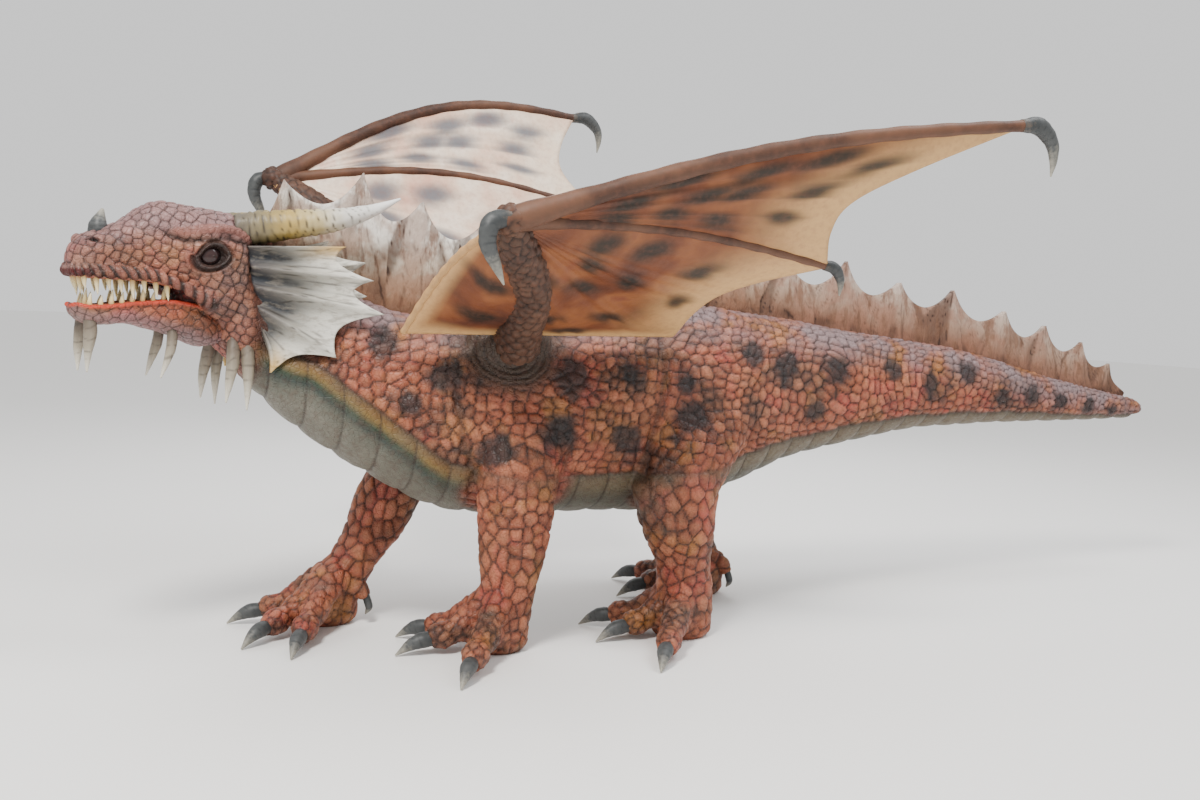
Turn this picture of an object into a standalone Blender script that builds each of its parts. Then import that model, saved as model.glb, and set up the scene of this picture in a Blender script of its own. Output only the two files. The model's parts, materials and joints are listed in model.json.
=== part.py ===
"""Animatronic dragon, about 5.7 m long: a rubber skin on four legs with hinged wings and a hinged jaw.

Metres, +Z up. The dragon faces -X and its left side is -Y. It is modelled with the ground at z = 0 and
its spine over y = 0, and at the end the whole of it is set over the origin. Pieces that are fitted into
the skin keep SEAT_GAP all round, and each moving piece has its origin on its hinge.
"""

import math

import bmesh
import bpy
import numpy as np
from mathutils import Vector

# Clearances
SEAT_GAP = 0.0005
ROW_GAP = 0.0020
JAW_GAP = 0.006
WING_GAP = 0.007

# Skin
SKIN_VOXEL = 0.015
JAW_VOXEL = 0.009
SKIN_SMOOTH_STEPS = 6
SLIVER = 0.003
SKIN_TRIANGLES = 2900
JAW_TRIANGLES = 340

# Trunk stations from the head to the tail tip: x, z, height above, depth below, half width
TRUNK = (
    (-1.88, 1.52, 0.15, 0.15, 0.11),
    (-1.60, 1.40, 0.26, 0.24, 0.19),
    (-1.35, 1.22, 0.30, 0.29, 0.23),
    (-1.08, 1.08, 0.35, 0.34, 0.30),
    (-0.78, 1.00, 0.43, 0.43, 0.38),
    (-0.45, 0.985, 0.46, 0.45, 0.41),
    (-0.10, 0.99, 0.47, 0.46, 0.39),
    (0.25, 1.00, 0.48, 0.47, 0.38),
    (0.55, 1.03, 0.46, 0.40, 0.35),
    (0.85, 1.07, 0.38, 0.33, 0.29),
    (1.20, 1.08, 0.32, 0.27, 0.245),
    (1.65, 1.10, 0.25, 0.215, 0.20),
    (2.10, 1.085, 0.20, 0.175, 0.16),
    (2.60, 1.04, 0.13, 0.12, 0.115),
    (3.05, 1.00, 0.085, 0.075, 0.075),
    (3.30, 0.985, 0.055, 0.05, 0.05),
    (3.385, 0.98, 0.02, 0.02, 0.02),
)
TRUNK_POWER = 0.92

# Head frame: its origin is at the hinge end of the skull, and it turns HEAD_TURN towards the left
HEAD_AT = (-1.70, 0.0, 1.50)
HEAD_TURN = math.radians(18.0)

# Skull stations: forward, top, bottom (the upper lip), half width
SKULL = (
    (-0.16, 0.18, -0.14, 0.08),
    (-0.08, 0.255, -0.20, 0.145),
    (0.02, 0.290, -0.20, 0.172),
    (0.13, 0.306, -0.15, 0.175),
    (0.22, 0.311, -0.062, 0.155),
    (0.28, 0.320, -0.020, 0.135),
    (0.34, 0.318, 0.004, 0.122),
    (0.40, 0.285, 0.015, 0.112),
    (0.46, 0.238, 0.018, 0.104),
    (0.53, 0.208, 0.020, 0.100),
    (0.60, 0.178, 0.022, 0.090),
    (0.645, 0.135, 0.030, 0.060),
    (0.660, 0.090, 0.060, 0.020),
)

# Lower jaw stations: forward, lip height, underside, half width
JAW = (
    (0.125, -0.105, -0.235, 0.108),
    (0.165, -0.090, -0.240, 0.124),
    (0.220, -0.072, -0.220, 0.120),
    (0.300, -0.060, -0.188, 0.104),
    (0.375, -0.066, -0.170, 0.092),
    (0.450, -0.073, -0.152, 0.088),
    (0.530, -0.084, -0.158, 0.084),
    (0.600, -0.087, -0.153, 0.074),
    (0.642, -0.078, -0.125, 0.048),
    (0.655, -0.085, -0.105, 0.016),
)
JAW_HINGE = (0.125, 0.0, -0.075)

# Teeth: in each half of a row; length, root radius, how far inside the lip they stand, front of the row
TOOTH_COUNT = 9
UPPER_TOOTH = (0.050, 0.0085, 0.010, 0.622)
LOWER_TOOTH = (0.048, 0.0080, 0.012, 0.598)
TEETH_FROM = 0.315
GUM_RADIUS = 0.010
TOOTH_UNEVEN = 0.16

EYE_AT = (0.165, 0.132, 0.120)
EYE_RADIUS = 0.040

# Fins behind the cheeks, which swing out on the side that the head turns to
LEFT_FIN_SPREAD = math.radians(20.0)
RIGHT_FIN_SPREAD = math.radians(2.0)

# Legs: (x, y, z, radius along x, radius along y) down the leg, then the sole's middle and the toe tips
LEGS = {
    "front_left": {
        "line": ((-0.56, -0.26, 1.02, 0.20, 0.16), (-0.56, -0.33, 0.82, 0.19, 0.15),
                 (-0.585, -0.36, 0.61, 0.165, 0.14), (-0.60, -0.36, 0.40, 0.140, 0.125),
                 (-0.61, -0.35, 0.26, 0.118, 0.112), (-0.64, -0.34, 0.13, 0.130, 0.120),
                 (-0.65, -0.34, 0.03, 0.125, 0.115)),
        "toes": ((-1.09, -0.33), (-0.96, -0.83), (-1.02, -0.06)),
        "dew": (-0.56, -0.16),
    },
    "front_right": {
        "line": ((-0.66, 0.26, 1.02, 0.20, 0.16), (-0.80, 0.31, 0.80, 0.19, 0.15),
                 (-0.95, 0.32, 0.60, 0.160, 0.14), (-1.03, 0.31, 0.42, 0.140, 0.125),
                 (-1.13, 0.30, 0.28, 0.118, 0.112), (-1.23, 0.29, 0.13, 0.130, 0.120),
                 (-1.25, 0.29, 0.03, 0.125, 0.115)),
        "toes": ((-1.67, -0.06), (-1.50, -0.26), (-1.68, 0.36)),
        "dew": (-1.10, 0.20),
    },
    "hind_left": {
        "line": ((0.36, -0.22, 1.02, 0.29, 0.17), (0.26, -0.31, 0.84, 0.25, 0.17),
                 (0.17, -0.37, 0.66, 0.205, 0.155), (0.18, -0.39, 0.48, 0.165, 0.14),
                 (0.21, -0.38, 0.34, 0.125, 0.12), (0.23, -0.37, 0.20, 0.130, 0.12),
                 (0.22, -0.37, 0.11, 0.140, 0.125), (0.22, -0.37, 0.03, 0.130, 0.115)),
        "toes": ((-0.21, -0.39), (-0.13, -0.87), (-0.17, -0.10)),
        "dew": (0.34, -0.22),
    },
    "hind_right": {
        "line": ((0.40, 0.22, 1.02, 0.29, 0.17), (0.44, 0.31, 0.84, 0.25, 0.17),
                 (0.50, 0.36, 0.66, 0.205, 0.155), (0.56, 0.36, 0.48, 0.165, 0.14),
                 (0.61, 0.34, 0.34, 0.125, 0.12), (0.66, 0.33, 0.20, 0.130, 0.12),
                 (0.67, 0.32, 0.11, 0.140, 0.125), (0.67, 0.32, 0.03, 0.130, 0.115)),
        "toes": ((0.22, 0.33), (0.30, 0.04), (0.36, 0.70)),
        "dew": (0.78, 0.20),
    },
}
CLAW_LENGTH = 0.155
CLAW_RADIUS = 0.033
CLAW_SEAT = 0.030
TOE_RADIUS = 0.058
DEW_LENGTH = 0.095

# Crest: x and z of each point of its upper edge that stands up as a spike
CREST_TIPS = (
    (-1.53, 1.95), (-1.21, 2.00), (-0.95, 1.90), (-0.65, 1.84), (-0.33, 1.83), (0.00, 1.81),
    (0.32, 1.79), (0.62, 1.76), (0.92, 1.73), (1.26, 1.74), (1.61, 1.65), (1.95, 1.62),
    (2.32, 1.52), (2.60, 1.45), (2.89, 1.36), (3.11, 1.24),
)
CREST_ENDS = (-1.66, 3.24)
CREST_DIP = 0.38
CREST_SEAT = 0.035
CREST_ROOT_HALF = 0.034
CREST_EDGE_HALF = 0.007

# Wings: shoulder hinge, wrist, tips of spar and second finger, and the body edge's two ends;
# how far the membrane bows up at its rear end, second finger and spar; and the pull of the scallop between those two
WINGS = {
    "left": {
        "shoulder": (-0.60, -0.335, 1.31), "wrist": (-0.93, -1.15, 1.765), "spar": (1.00, -1.50, 2.215),
        "finger": (0.44, -1.06, 1.665), "front": (-1.09, -0.36, 1.345), "rear": (0.12, -0.375, 1.355),
        "bows": (-0.02, 0.05, 0.075), "tip_scallop": 0.19,
    },
    "right": {
        "shoulder": (-0.60, 0.335, 1.31), "wrist": (-1.40, 1.02, 2.04), "spar": (0.30, 1.30, 2.52),
        "finger": (0.36, 1.00, 1.97), "front": (-1.11, 0.36, 1.40), "rear": (0.12, 0.375, 1.355),
        "bows": (-0.02, 0.12, 0.19), "tip_scallop": 0.10,
    },
}
WING_BALL = 0.090
SPAR_RADIUS = 0.036
FINGER_RADIUS = 0.026
EDGE_RADIUS = 0.016
KNOB_REACH = 0.035
KNOB_RADIUS = 0.048
THUMB_OUT = 0.022
MEMBRANE_HALF = 0.006
REAR_SCALLOP = 0.13

COLOURS = {
    "skin": ((0.42, 0.13, 0.07), 0.62),
    "wing_skin": ((0.52, 0.20, 0.10), 0.60),
    "crest": ((0.62, 0.52, 0.45), 0.65),
    "fin": ((0.66, 0.66, 0.62), 0.60),
    "horn": ((0.40, 0.36, 0.25), 0.50),
    "claw": ((0.09, 0.12, 0.14), 0.35),
    "tooth": ((0.78, 0.66, 0.42), 0.35),
    "eye": ((0.045, 0.020, 0.022), 0.08),
}


def material(name):
    """The material of one finish, made once."""
    if name not in bpy.data.materials:
        made = bpy.data.materials.new(name)
        made.use_nodes = True
        shader = made.node_tree.nodes["Principled BSDF"]
        colour, roughness = COLOURS[name]
        shader.inputs["Base Color"].default_value = (*colour, 1.0)
        shader.inputs["Roughness"].default_value = roughness
        shader.inputs["Metallic"].default_value = 0.0
    return bpy.data.materials[name]


def smooth_rows(rows, steps):
    """Catmull-Rom curve through the rows, with that many steps between each two."""
    rows = np.asarray(rows, float)
    ends = np.vstack([2 * rows[0] - rows[1], rows, 2 * rows[-1] - rows[-2]])
    out = []
    for k in range(1, len(ends) - 2):
        before, start, end, after = ends[k - 1:k + 3]
        for t in np.arange(steps) / steps:
            out.append(0.5 * (2 * start + (end - before) * t + (2 * before - 5 * start + 4 * end - after) * t ** 2
                              + (3 * start - before - 3 * end + after) * t ** 3))
    return np.array(out + [rows[-1]])


def signed_volume(verts, faces):
    """Volume inside the faces, negative where they point inwards."""
    total = 0.0
    for face in faces:
        for k in range(1, len(face) - 1):
            total += np.dot(verts[face[0]], np.cross(verts[face[k]], verts[face[k + 1]])) / 6
    return total


def shape(verts, faces):
    """(points, faces) with the faces pointing out."""
    verts = np.asarray(verts, float)
    if signed_volume(verts, faces) < 0:
        faces = [tuple(reversed(face)) for face in faces]
    return verts, faces


def loft(rings):
    """A closed shape through rings of equal count, each end closed to the ring's middle."""
    rings = np.asarray(rings, float)
    count, around = rings.shape[:2]
    verts = np.vstack([rings.reshape(-1, 3), rings[0].mean(0), rings[-1].mean(0)])
    first, last = count * around, count * around + 1
    faces = []
    for i in range(count - 1):
        for j in range(around):
            k = (j + 1) % around
            faces.append((i * around + j, i * around + k, (i + 1) * around + k, (i + 1) * around + j))
    for j in range(around):
        k = (j + 1) % around
        faces.append((first, k, j))
        faces.append((last, (count - 1) * around + j, (count - 1) * around + k))
    return shape(verts, faces)


def joined(*shapes):
    """Several shapes as one list of points and faces."""
    verts, faces, start = [], [], 0
    for part_verts, part_faces in shapes:
        verts.append(part_verts)
        faces += [tuple(start + k for k in face) for face in part_faces]
        start += len(part_verts)
    return np.vstack(verts), faces


def along(points, radii, around=8, flat=1.0, up=(0.0, 0.0, 1.0)):
    """A round or flattened limb along a line of points, with a radius at each."""
    points = np.asarray(points, float)
    radii = np.asarray(radii, float)
    tangent = np.gradient(points, axis=0)
    tangent /= np.linalg.norm(tangent, axis=1)[:, None]
    side = np.cross(tangent, np.asarray(up, float))
    side /= np.linalg.norm(side, axis=1)[:, None]
    rise = np.cross(side, tangent)
    angle = 2 * np.pi * np.arange(around) / around
    rings = (points[:, None] + radii[:, None, None] * (flat * np.cos(angle)[None, :, None] * side[:, None]
                                                       + np.sin(angle)[None, :, None] * rise[:, None]))
    return loft(rings)


def ball(centre, radii, rows=6, around=10):
    """An ellipsoid of rings between two poles."""
    polar = np.pi * (np.arange(rows) + 0.5) / rows
    angle = 2 * np.pi * np.arange(around) / around
    unit = np.stack([np.sin(polar)[:, None] * np.cos(angle), np.sin(polar)[:, None] * np.sin(angle),
                     np.repeat(np.cos(polar)[:, None], around, 1)], axis=2)
    verts, faces = loft(np.asarray(centre, float) + unit * np.asarray(radii, float))
    verts[-2] = np.asarray(centre, float) + (0, 0, radii[2])
    verts[-1] = np.asarray(centre, float) - (0, 0, radii[2])
    return verts, faces


def head_point(forward, left, height):
    """World place of a point in the head's frame."""
    cos, sin = math.cos(HEAD_TURN), math.sin(HEAD_TURN)
    return np.array([HEAD_AT[0] - cos * forward + sin * left, HEAD_AT[1] - sin * forward - cos * left,
                     HEAD_AT[2] + height])


def head_shape(verts_faces):
    """A shape given in the head's frame, brought to its place."""
    verts, faces = verts_faces
    return shape(np.array([head_point(*vert) for vert in verts]), faces)


def trunk_rings(around, steps):
    """Rings of neck, chest, belly and tail, square to the spine's line."""
    rows = smooth_rows(TRUNK, steps)
    centre = np.stack([rows[:, 0], np.zeros(len(rows)), rows[:, 1]], axis=1)
    tangent = np.gradient(centre, axis=0)
    tangent /= np.linalg.norm(tangent, axis=1)[:, None]
    rise = np.stack([-tangent[:, 2], np.zeros(len(rows)), tangent[:, 0]], axis=1)
    angle = 2 * np.pi * np.arange(around) / around
    across = np.sign(np.cos(angle)) * np.abs(np.cos(angle)) ** TRUNK_POWER
    upright = np.sign(np.sin(angle)) * np.abs(np.sin(angle)) ** TRUNK_POWER
    height = np.where(upright[None] > 0, rows[:, 2:3], rows[:, 3:4]) * upright[None]
    rings = centre[:, None] + height[..., None] * rise[:, None]
    rings[..., 1] += rows[:, 4:5] * across[None]
    return rings


def box_rings(stations, around, top_power, bottom_power):
    """Head rings from (forward, top, bottom, half width), rounder above and flatter below."""
    rows = np.asarray(stations, float)
    angle = 2 * np.pi * np.arange(around) / around
    cos, sin = np.cos(angle), np.sin(angle)
    power = np.where(sin > 0, top_power, bottom_power)
    across = np.sign(cos) * np.abs(cos) ** power
    upright = np.sign(sin) * np.abs(sin) ** power
    middle = (rows[:, 1] + rows[:, 2]) / 2
    half = (rows[:, 1] - rows[:, 2]) / 2
    rings = np.zeros((len(rows), around, 3))
    rings[..., 0] = rows[:, 0:1]
    rings[..., 1] = rows[:, 3:4] * across[None]
    rings[..., 2] = middle[:, None] + half[:, None] * upright[None]
    return rings


def skull_shapes():
    """Skull, brows, eye rims, cheeks, nostrils and lip folds, in the head's frame."""
    shapes = [loft(box_rings(smooth_rows(SKULL, 2), 20, 0.75, 0.70))]
    for side in (1, -1):
        brow = ((0.40, 0.070, 0.262), (0.34, 0.098, 0.215), (0.26, 0.128, 0.205), (0.17, 0.150, 0.222),
                (0.08, 0.160, 0.225), (0.015, 0.160, 0.190), (-0.02, 0.150, 0.135))
        path = smooth_rows(brow, 3) * (1, side, 1)
        shapes.append(along(path, 0.024 * np.sin(np.linspace(0.6, 2.75, len(path))), 8))
        for height, size in ((0.165, 0.017), (0.075, 0.019)):
            reach = np.linspace(-0.062, 0.062, 9)
            bow = (1 - (reach / 0.075) ** 2) * (height - EYE_AT[2]) * 0.45
            lid = np.stack([EYE_AT[0] + reach, side * (EYE_AT[1] + 0.012 - 3.0 * reach ** 2),
                            EYE_AT[2] + (height - EYE_AT[2]) * 0.55 + bow], axis=1)
            shapes.append(along(lid, size * np.sin(np.linspace(0.5, 2.6, 9)), 8))
        shapes.append(ball((0.10, side * 0.120, -0.03), (0.12, 0.055, 0.10)))
        shapes.append(ball((0.585, side * 0.055, 0.160), (0.040, 0.026, 0.022)))
        lip = ((0.655, 0.030, 0.045), (0.625, 0.070, 0.040), (0.56, 0.095, 0.038), (0.46, 0.104, 0.036),
               (0.38, 0.116, 0.032), (0.30, 0.134, 0.008), (0.225, 0.152, -0.035))
        path = smooth_rows(lip, 3) * (1, side, 1)
        shapes.append(along(path, np.full(len(path), 0.019), 8))
    return shapes


def jaw_shapes():
    """Lower jaw with its rounded lip, in the head's frame."""
    return [loft(box_rings(smooth_rows(JAW, 2), 14, 0.55, 0.85))]


def leg_shapes(leg):
    """One leg as a limb with a broad sole, and its toes."""
    rows = smooth_rows(leg["line"], 3)
    angle = 2 * np.pi * np.arange(14) / 14
    rings = np.zeros((len(rows), 14, 3))
    rings[..., 0] = rows[:, 0:1] + rows[:, 3:4] * np.cos(angle)
    rings[..., 1] = rows[:, 1:2] + rows[:, 4:5] * np.sin(angle)
    rings[..., 2] = rows[:, 2:3]
    shapes = [loft(rings), ball((*rows[-1][:2], 0.05), (rows[-1][3] * 1.08, rows[-1][4] * 1.08, 0.085))]
    for tip in leg["toes"]:
        path, _ = toe_path(leg, tip)
        radii = TOE_RADIUS * np.array([1.25, 1.12, 0.92, 0.98, 0.66])
        shapes.append(along(path, radii, 10, 0.95))
        knuckle = path[3]
        shapes.append(ball(knuckle + (0, 0, 0.012), (0.058, 0.055, 0.046)))
    path, _ = dew_path(leg)
    shapes.append(along(path, np.array([0.050, 0.042, 0.026]), 8))
    return shapes


def toe_path(leg, tip):
    """Middle line of a toe from the sole to the claw's root, and the claw's line to its tip."""
    sole = np.array([*leg["line"][-1][:2], 0.0])
    reach = np.array([*tip, 0.0]) - sole
    length = np.linalg.norm(reach)
    way = reach / length
    flesh = length - CLAW_LENGTH
    toe = [sole + way * flesh * share + (0, 0, height)
           for share, height in ((0.15, 0.085), (0.45, 0.110), (0.70, 0.085), (0.88, 0.072), (1.02, 0.058))]
    claw = [sole + way * (flesh - CLAW_SEAT * 0.6) + (0, 0, 0.062),
            sole + way * (flesh + CLAW_LENGTH * 0.30) + (0, 0, 0.058),
            sole + way * (flesh + CLAW_LENGTH * 0.62) + (0, 0, 0.040),
            sole + way * (flesh + CLAW_LENGTH * 0.97) + (0, 0, 0.008)]
    return np.array(toe), np.array(claw)


def dew_path(leg):
    """The same for the small toe at the back of the foot."""
    ankle = np.array([*leg["line"][-2][:2], 0.17])
    reach = np.array([*leg["dew"], 0.17]) - ankle
    way = reach / np.linalg.norm(reach)
    toe = [ankle + way * 0.09 + (0, 0, 0.02), ankle + way * 0.14 + (0, 0, -0.01), ankle + way * 0.17 + (0, 0, -0.045)]
    claw = [toe[2] - way * 0.005 + (0, 0, 0.012), toe[2] + way * 0.012 + (0, 0, -DEW_LENGTH * 0.45),
            toe[2] - way * 0.004 + (0, 0, -DEW_LENGTH * 0.80)]
    return np.array(toe), np.array(claw)


def link(name, verts_faces, finish, origin=(0.0, 0.0, 0.0)):
    """A new object of that shape, with its origin at the given place."""
    verts, faces = verts_faces
    mesh = bpy.data.meshes.new(name)
    mesh.from_pydata((np.asarray(verts) - np.asarray(origin)).tolist(), [], faces)
    mesh.update()
    mesh.materials.append(material(finish))
    made = bpy.data.objects.new(name, mesh)
    made.location = origin
    bpy.context.scene.collection.objects.link(made)
    return made


def settle(made):
    """The object with its modifiers made part of its mesh."""
    bpy.context.view_layer.update()
    graph = bpy.context.evaluated_depsgraph_get()
    mesh = bpy.data.meshes.new_from_object(made.evaluated_get(graph))
    made.modifiers.clear()
    made.data = mesh
    return made


def swollen(made, amount):
    """A copy of the object with every face pushed out by that much, for cutting its seat."""
    mesh = bmesh.new()
    mesh.from_mesh(made.data)
    mesh.normal_update()
    pushes = [vert.normal * amount * min(vert.calc_shell_factor(), 3.0) for vert in mesh.verts]
    for vert, push in zip(mesh.verts, pushes):
        vert.co += push
    data = bpy.data.meshes.new(made.name + "_seat")
    mesh.to_mesh(data)
    mesh.free()
    cutter = bpy.data.objects.new(made.name + "_seat", data)
    cutter.location = made.location
    bpy.context.scene.collection.objects.link(cutter)
    return cutter


def cut(made, cutters):
    """The object less all of the cutters, which are then removed."""
    for cutter in cutters:
        tool = made.modifiers.new("seat", "BOOLEAN")
        tool.operation = "DIFFERENCE"
        tool.solver = "EXACT"
        tool.object = cutter
    settle(made)
    for cutter in cutters:
        bpy.data.objects.remove(cutter)
    return made


def fuse(made, other):
    """The object grown together with another, which is then removed."""
    tool = made.modifiers.new("fuse", "BOOLEAN")
    tool.operation = "UNION"
    tool.solver = "EXACT"
    tool.object = other
    settle(made)
    bpy.data.objects.remove(other)


def largest_body(made):
    """Only the largest of the object's bodies stays, where a body's faces meet along edges."""
    mesh = bmesh.new()
    mesh.from_mesh(made.data)
    left, bodies = set(mesh.faces), []
    while left:
        body, border = set(), [left.pop()]
        while border:
            face = border.pop()
            body.add(face)
            near = {other for edge in face.edges for other in edge.link_faces} & left
            left -= near
            border += near
        bodies.append(body)
    keep = max(bodies, key=lambda body: sum(face.calc_area() for face in body))
    bmesh.ops.delete(mesh, geom=[face for body in bodies if body is not keep for face in body], context="FACES")
    mesh.to_mesh(made.data)
    mesh.free()


def seat(pieces, carrier, gap=SEAT_GAP):
    """Each piece cut to the surface of what carries it, clear of it by the seat's gap."""
    for piece in pieces:
        cut(piece, [swollen(carrier, gap)])
        largest_body(piece)


def skin_object(name, shapes, triangles, finish, origin=(0.0, 0.0, 0.0), voxel=SKIN_VOXEL):
    """Overlapping shapes grown together as one skin, thinned to about that many triangles."""
    made = link(name, joined(*shapes), finish, origin)
    remesh = made.modifiers.new("skin", "REMESH")
    remesh.mode = "VOXEL"
    remesh.voxel_size = voxel
    soften = made.modifiers.new("soften", "SMOOTH")
    soften.factor = 0.5
    soften.iterations = SKIN_SMOOTH_STEPS
    settle(made)
    full = sum(len(face.vertices) - 2 for face in made.data.polygons)
    thin = made.modifiers.new("thin", "DECIMATE")
    thin.ratio = triangles / full
    settle(made)
    mesh = bmesh.new()
    mesh.from_mesh(made.data)
    bmesh.ops.dissolve_degenerate(mesh, dist=SLIVER, edges=mesh.edges)
    mesh.to_mesh(made.data)
    mesh.free()
    return made


def flatten_soles(made):
    """What would reach below the ground becomes the flat soles."""
    for vert in made.data.vertices:
        vert.co.z = max(vert.co.z, 0.0)
    made.data.update()


def lip_arc(stations, height_column, inset, front):
    """The line of a lip seen from above, from one corner round the front to the other, set inwards."""
    rows = smooth_rows(stations, 8)
    rows = rows[(rows[:, 0] > TEETH_FROM) & (rows[:, 0] < front)]
    left = np.stack([rows[:, 0], rows[:, 3] - inset, rows[:, height_column]], axis=1)
    right = left[::-1] * (1, -1, 1)
    return np.vstack([left, right])


def evenly(line, count):
    """That many points at equal steps along a line."""
    steps = np.r_[0, np.cumsum(np.linalg.norm(np.diff(line, axis=0), axis=1))]
    want = np.linspace(0.02, 0.98, count) * steps[-1]
    return np.stack([np.interp(want, steps, line[:, k]) for k in range(3)], axis=1)


def teeth(name, stations, height_column, way, size, body_origin):
    """One row of teeth on its gum, as one piece: a bar whose free edge goes from gap to tip to gap."""
    length, radius, inset, front = size
    path = evenly(lip_arc(stations, height_column, inset + radius, front), 4 * TOOTH_COUNT + 1)
    tangent = np.gradient(path, axis=0)
    across = np.stack([-tangent[:, 1], tangent[:, 0], np.zeros(len(path))], axis=1)
    across /= np.linalg.norm(across, axis=1)[:, None]
    mark = np.arange(len(path))
    tip = mark % 2 == 1
    reach = np.where(tip, length * (1.0 + TOOTH_UNEVEN * np.cos(mark + way)), GUM_RADIUS)
    edge = np.where(tip, 0.3, 1.0) * radius
    root = path - (0.0, 0.0, way * GUM_RADIUS)
    free = path + np.outer(way * reach, (0.0, 0.0, 1.0))
    root_half, edge_half = across * GUM_RADIUS, across * edge[:, None]
    rings = np.stack([root + root_half, free + edge_half, free - edge_half, root - root_half], axis=1)
    return link(name, head_shape(loft(rings)), "tooth", body_origin)


def horn(name, path, radii, finish, around=8, origin=(0.0, 0.0, 0.0), up=(0.0, 0.0, 1.0), flat=1.0):
    """A horn, spike or claw along a curved line, pointed at its end."""
    return link(name, along(path, radii, around, flat, up), finish, origin)


def crest_base(x):
    """Height of the spine's ridge at x."""
    rows = smooth_rows(TRUNK, 6)
    return np.interp(x, rows[:, 0], rows[:, 1] + rows[:, 2])


def crest_top(x):
    """Height of the crest's scalloped upper edge: spikes with dips between them."""
    tips = np.array(((CREST_ENDS[0], crest_base(CREST_ENDS[0]) + 0.02), *CREST_TIPS,
                     (CREST_ENDS[1], crest_base(CREST_ENDS[1]) + 0.02)))
    k = np.clip(np.searchsorted(tips[:, 0], x) - 1, 0, len(tips) - 2)
    share = (x - tips[k, 0]) / (tips[k + 1, 0] - tips[k, 0])
    line = tips[k, 1] * (1 - share) + tips[k + 1, 1] * share
    return line - CREST_DIP * (line - crest_base(x)) * np.sin(np.pi * share) ** 0.7


def crest_shape():
    """The crest as a thin upright fin, thick at its root."""
    xs = [CREST_ENDS[0]]
    marks = [CREST_ENDS[0]] + [tip[0] for tip in CREST_TIPS] + [CREST_ENDS[1]]
    for start, end in zip(marks, marks[1:]):
        xs += [start + (end - start) * share for share in (0.25, 0.7, 1.0)]
    xs = np.array(xs)
    low, high = crest_base(xs) - CREST_SEAT, crest_top(xs)
    rings = []
    for x, bottom, top in zip(xs, low, high):
        levels = (0.0, 1.0)
        halves = [CREST_ROOT_HALF + (CREST_EDGE_HALF - CREST_ROOT_HALF) * level ** 0.7 for level in levels]
        fade = min(1.0, 0.25 + (x - CREST_ENDS[0]) * 2, 0.25 + (CREST_ENDS[1] - x) * 1.2)
        left = [(x, -half * fade, bottom + (top - bottom) * level) for half, level in zip(halves, levels)]
        right = [(x, half * fade, bottom + (top - bottom) * level) for half, level in zip(halves, levels)]
        rings.append(left + right[::-1])
    return loft(rings)


def ear_fin_shape(side, root_top, root_low, tips, dip, half, bulge, spread):
    """A webbed fan from a short root to pointed rays, with scallops between them, in the head's frame."""
    root_top, root_low = np.asarray(root_top, float), np.asarray(root_low, float)
    tips = np.asarray(tips, float)
    columns = []
    count = len(tips)
    for k in range(count):
        columns.append((k / (count - 1), tips[k], 1.0))
        if k < count - 1:
            middle = (tips[k] + tips[k + 1]) / 2
            share = (k + 0.5) / (count - 1)
            root = root_top * (1 - share) + root_low * share
            columns.append((share, root + (middle - root) * (1 - dip), 0.0))
    levels = (0.0, 0.45, 1.0)
    grid = np.zeros((len(columns), len(levels), 3))
    thick = np.zeros((len(columns), len(levels)))
    for i, (share, tip, ray) in enumerate(columns):
        root = root_top * (1 - share) + root_low * share
        for j, level in enumerate(levels):
            grid[i, j] = root + (tip - root) * level
            grid[i, j, 1] += bulge * math.sin(math.pi * level) * (0.4 + ray * 0.6)
            thick[i, j] = half * (1.6 - level) * (1.0 + 0.5 * ray)
    grid[..., 1] += math.tan(spread) * (root_top[0] - grid[..., 0])
    grid[..., 1] *= side
    offset = np.zeros_like(grid)
    offset[..., 1] = thick
    return plate(grid + offset, grid - offset)


def plate(upper, lower):
    """A closed plate between two grids of the same size."""
    rows, columns = upper.shape[:2]
    verts = np.vstack([upper.reshape(-1, 3), lower.reshape(-1, 3)])
    below = rows * columns
    faces = []
    for i in range(rows - 1):
        for j in range(columns - 1):
            a, b, c, d = (i * columns + j, i * columns + j + 1, (i + 1) * columns + j + 1, (i + 1) * columns + j)
            faces.append((a, b, c, d))
            faces.append((below + d, below + c, below + b, below + a))
    edge = [(i, 0) for i in range(rows)] + [(rows - 1, j) for j in range(1, columns)]
    edge += [(i, columns - 1) for i in range(rows - 2, -1, -1)] + [(0, j) for j in range(columns - 2, 0, -1)]
    loop = [i * columns + j for i, j in edge]
    for a, b in zip(loop, loop[1:] + loop[:1]):
        faces.append((a, b, below + b, below + a))
    return shape(verts, faces)


def wing_rays(wing):
    """Outer points of the membrane seen from the wrist, with how far each ray bows up."""
    wrist, front, rear = np.array(wing["wrist"]), np.array(wing["front"]), np.array(wing["rear"])
    finger, spar = np.array(wing["finger"]), np.array(wing["spar"])
    rays = [(front, 0.07)]
    for share in (0.20, 0.40, 0.60, 0.80):
        rays.append((front + (rear - front) * share, 0.02 - 0.09 * math.sin(math.pi * share)))
    rays.append((rear, wing["bows"][0]))
    for start, end, bows, scallop in ((rear, finger, wing["bows"][:2], REAR_SCALLOP),
                                      (finger, spar, wing["bows"][1:], wing["tip_scallop"])):
        for share in (0.25, 0.5, 0.75):
            point = start + (end - start) * share
            pull = scallop * math.sin(math.pi * share)
            bow = bows[0] + (bows[1] - bows[0]) * share - 0.04 * math.sin(math.pi * share)
            rays.append((point + (wrist - point) * pull, bow))
        rays.append((end, bows[1]))
    return wrist, rays


def bowed(wrist, tip, bow, levels):
    """Points of one ray, from the wrist's knob to its tip, bowed up between them."""
    levels = np.asarray(levels, float)
    reach = tip - wrist
    start = wrist + reach * KNOB_REACH / np.linalg.norm(reach)
    line = start + (tip - start) * levels[:, None]
    line[:, 2] += bow * np.sin(np.pi * levels)
    return line


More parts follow.
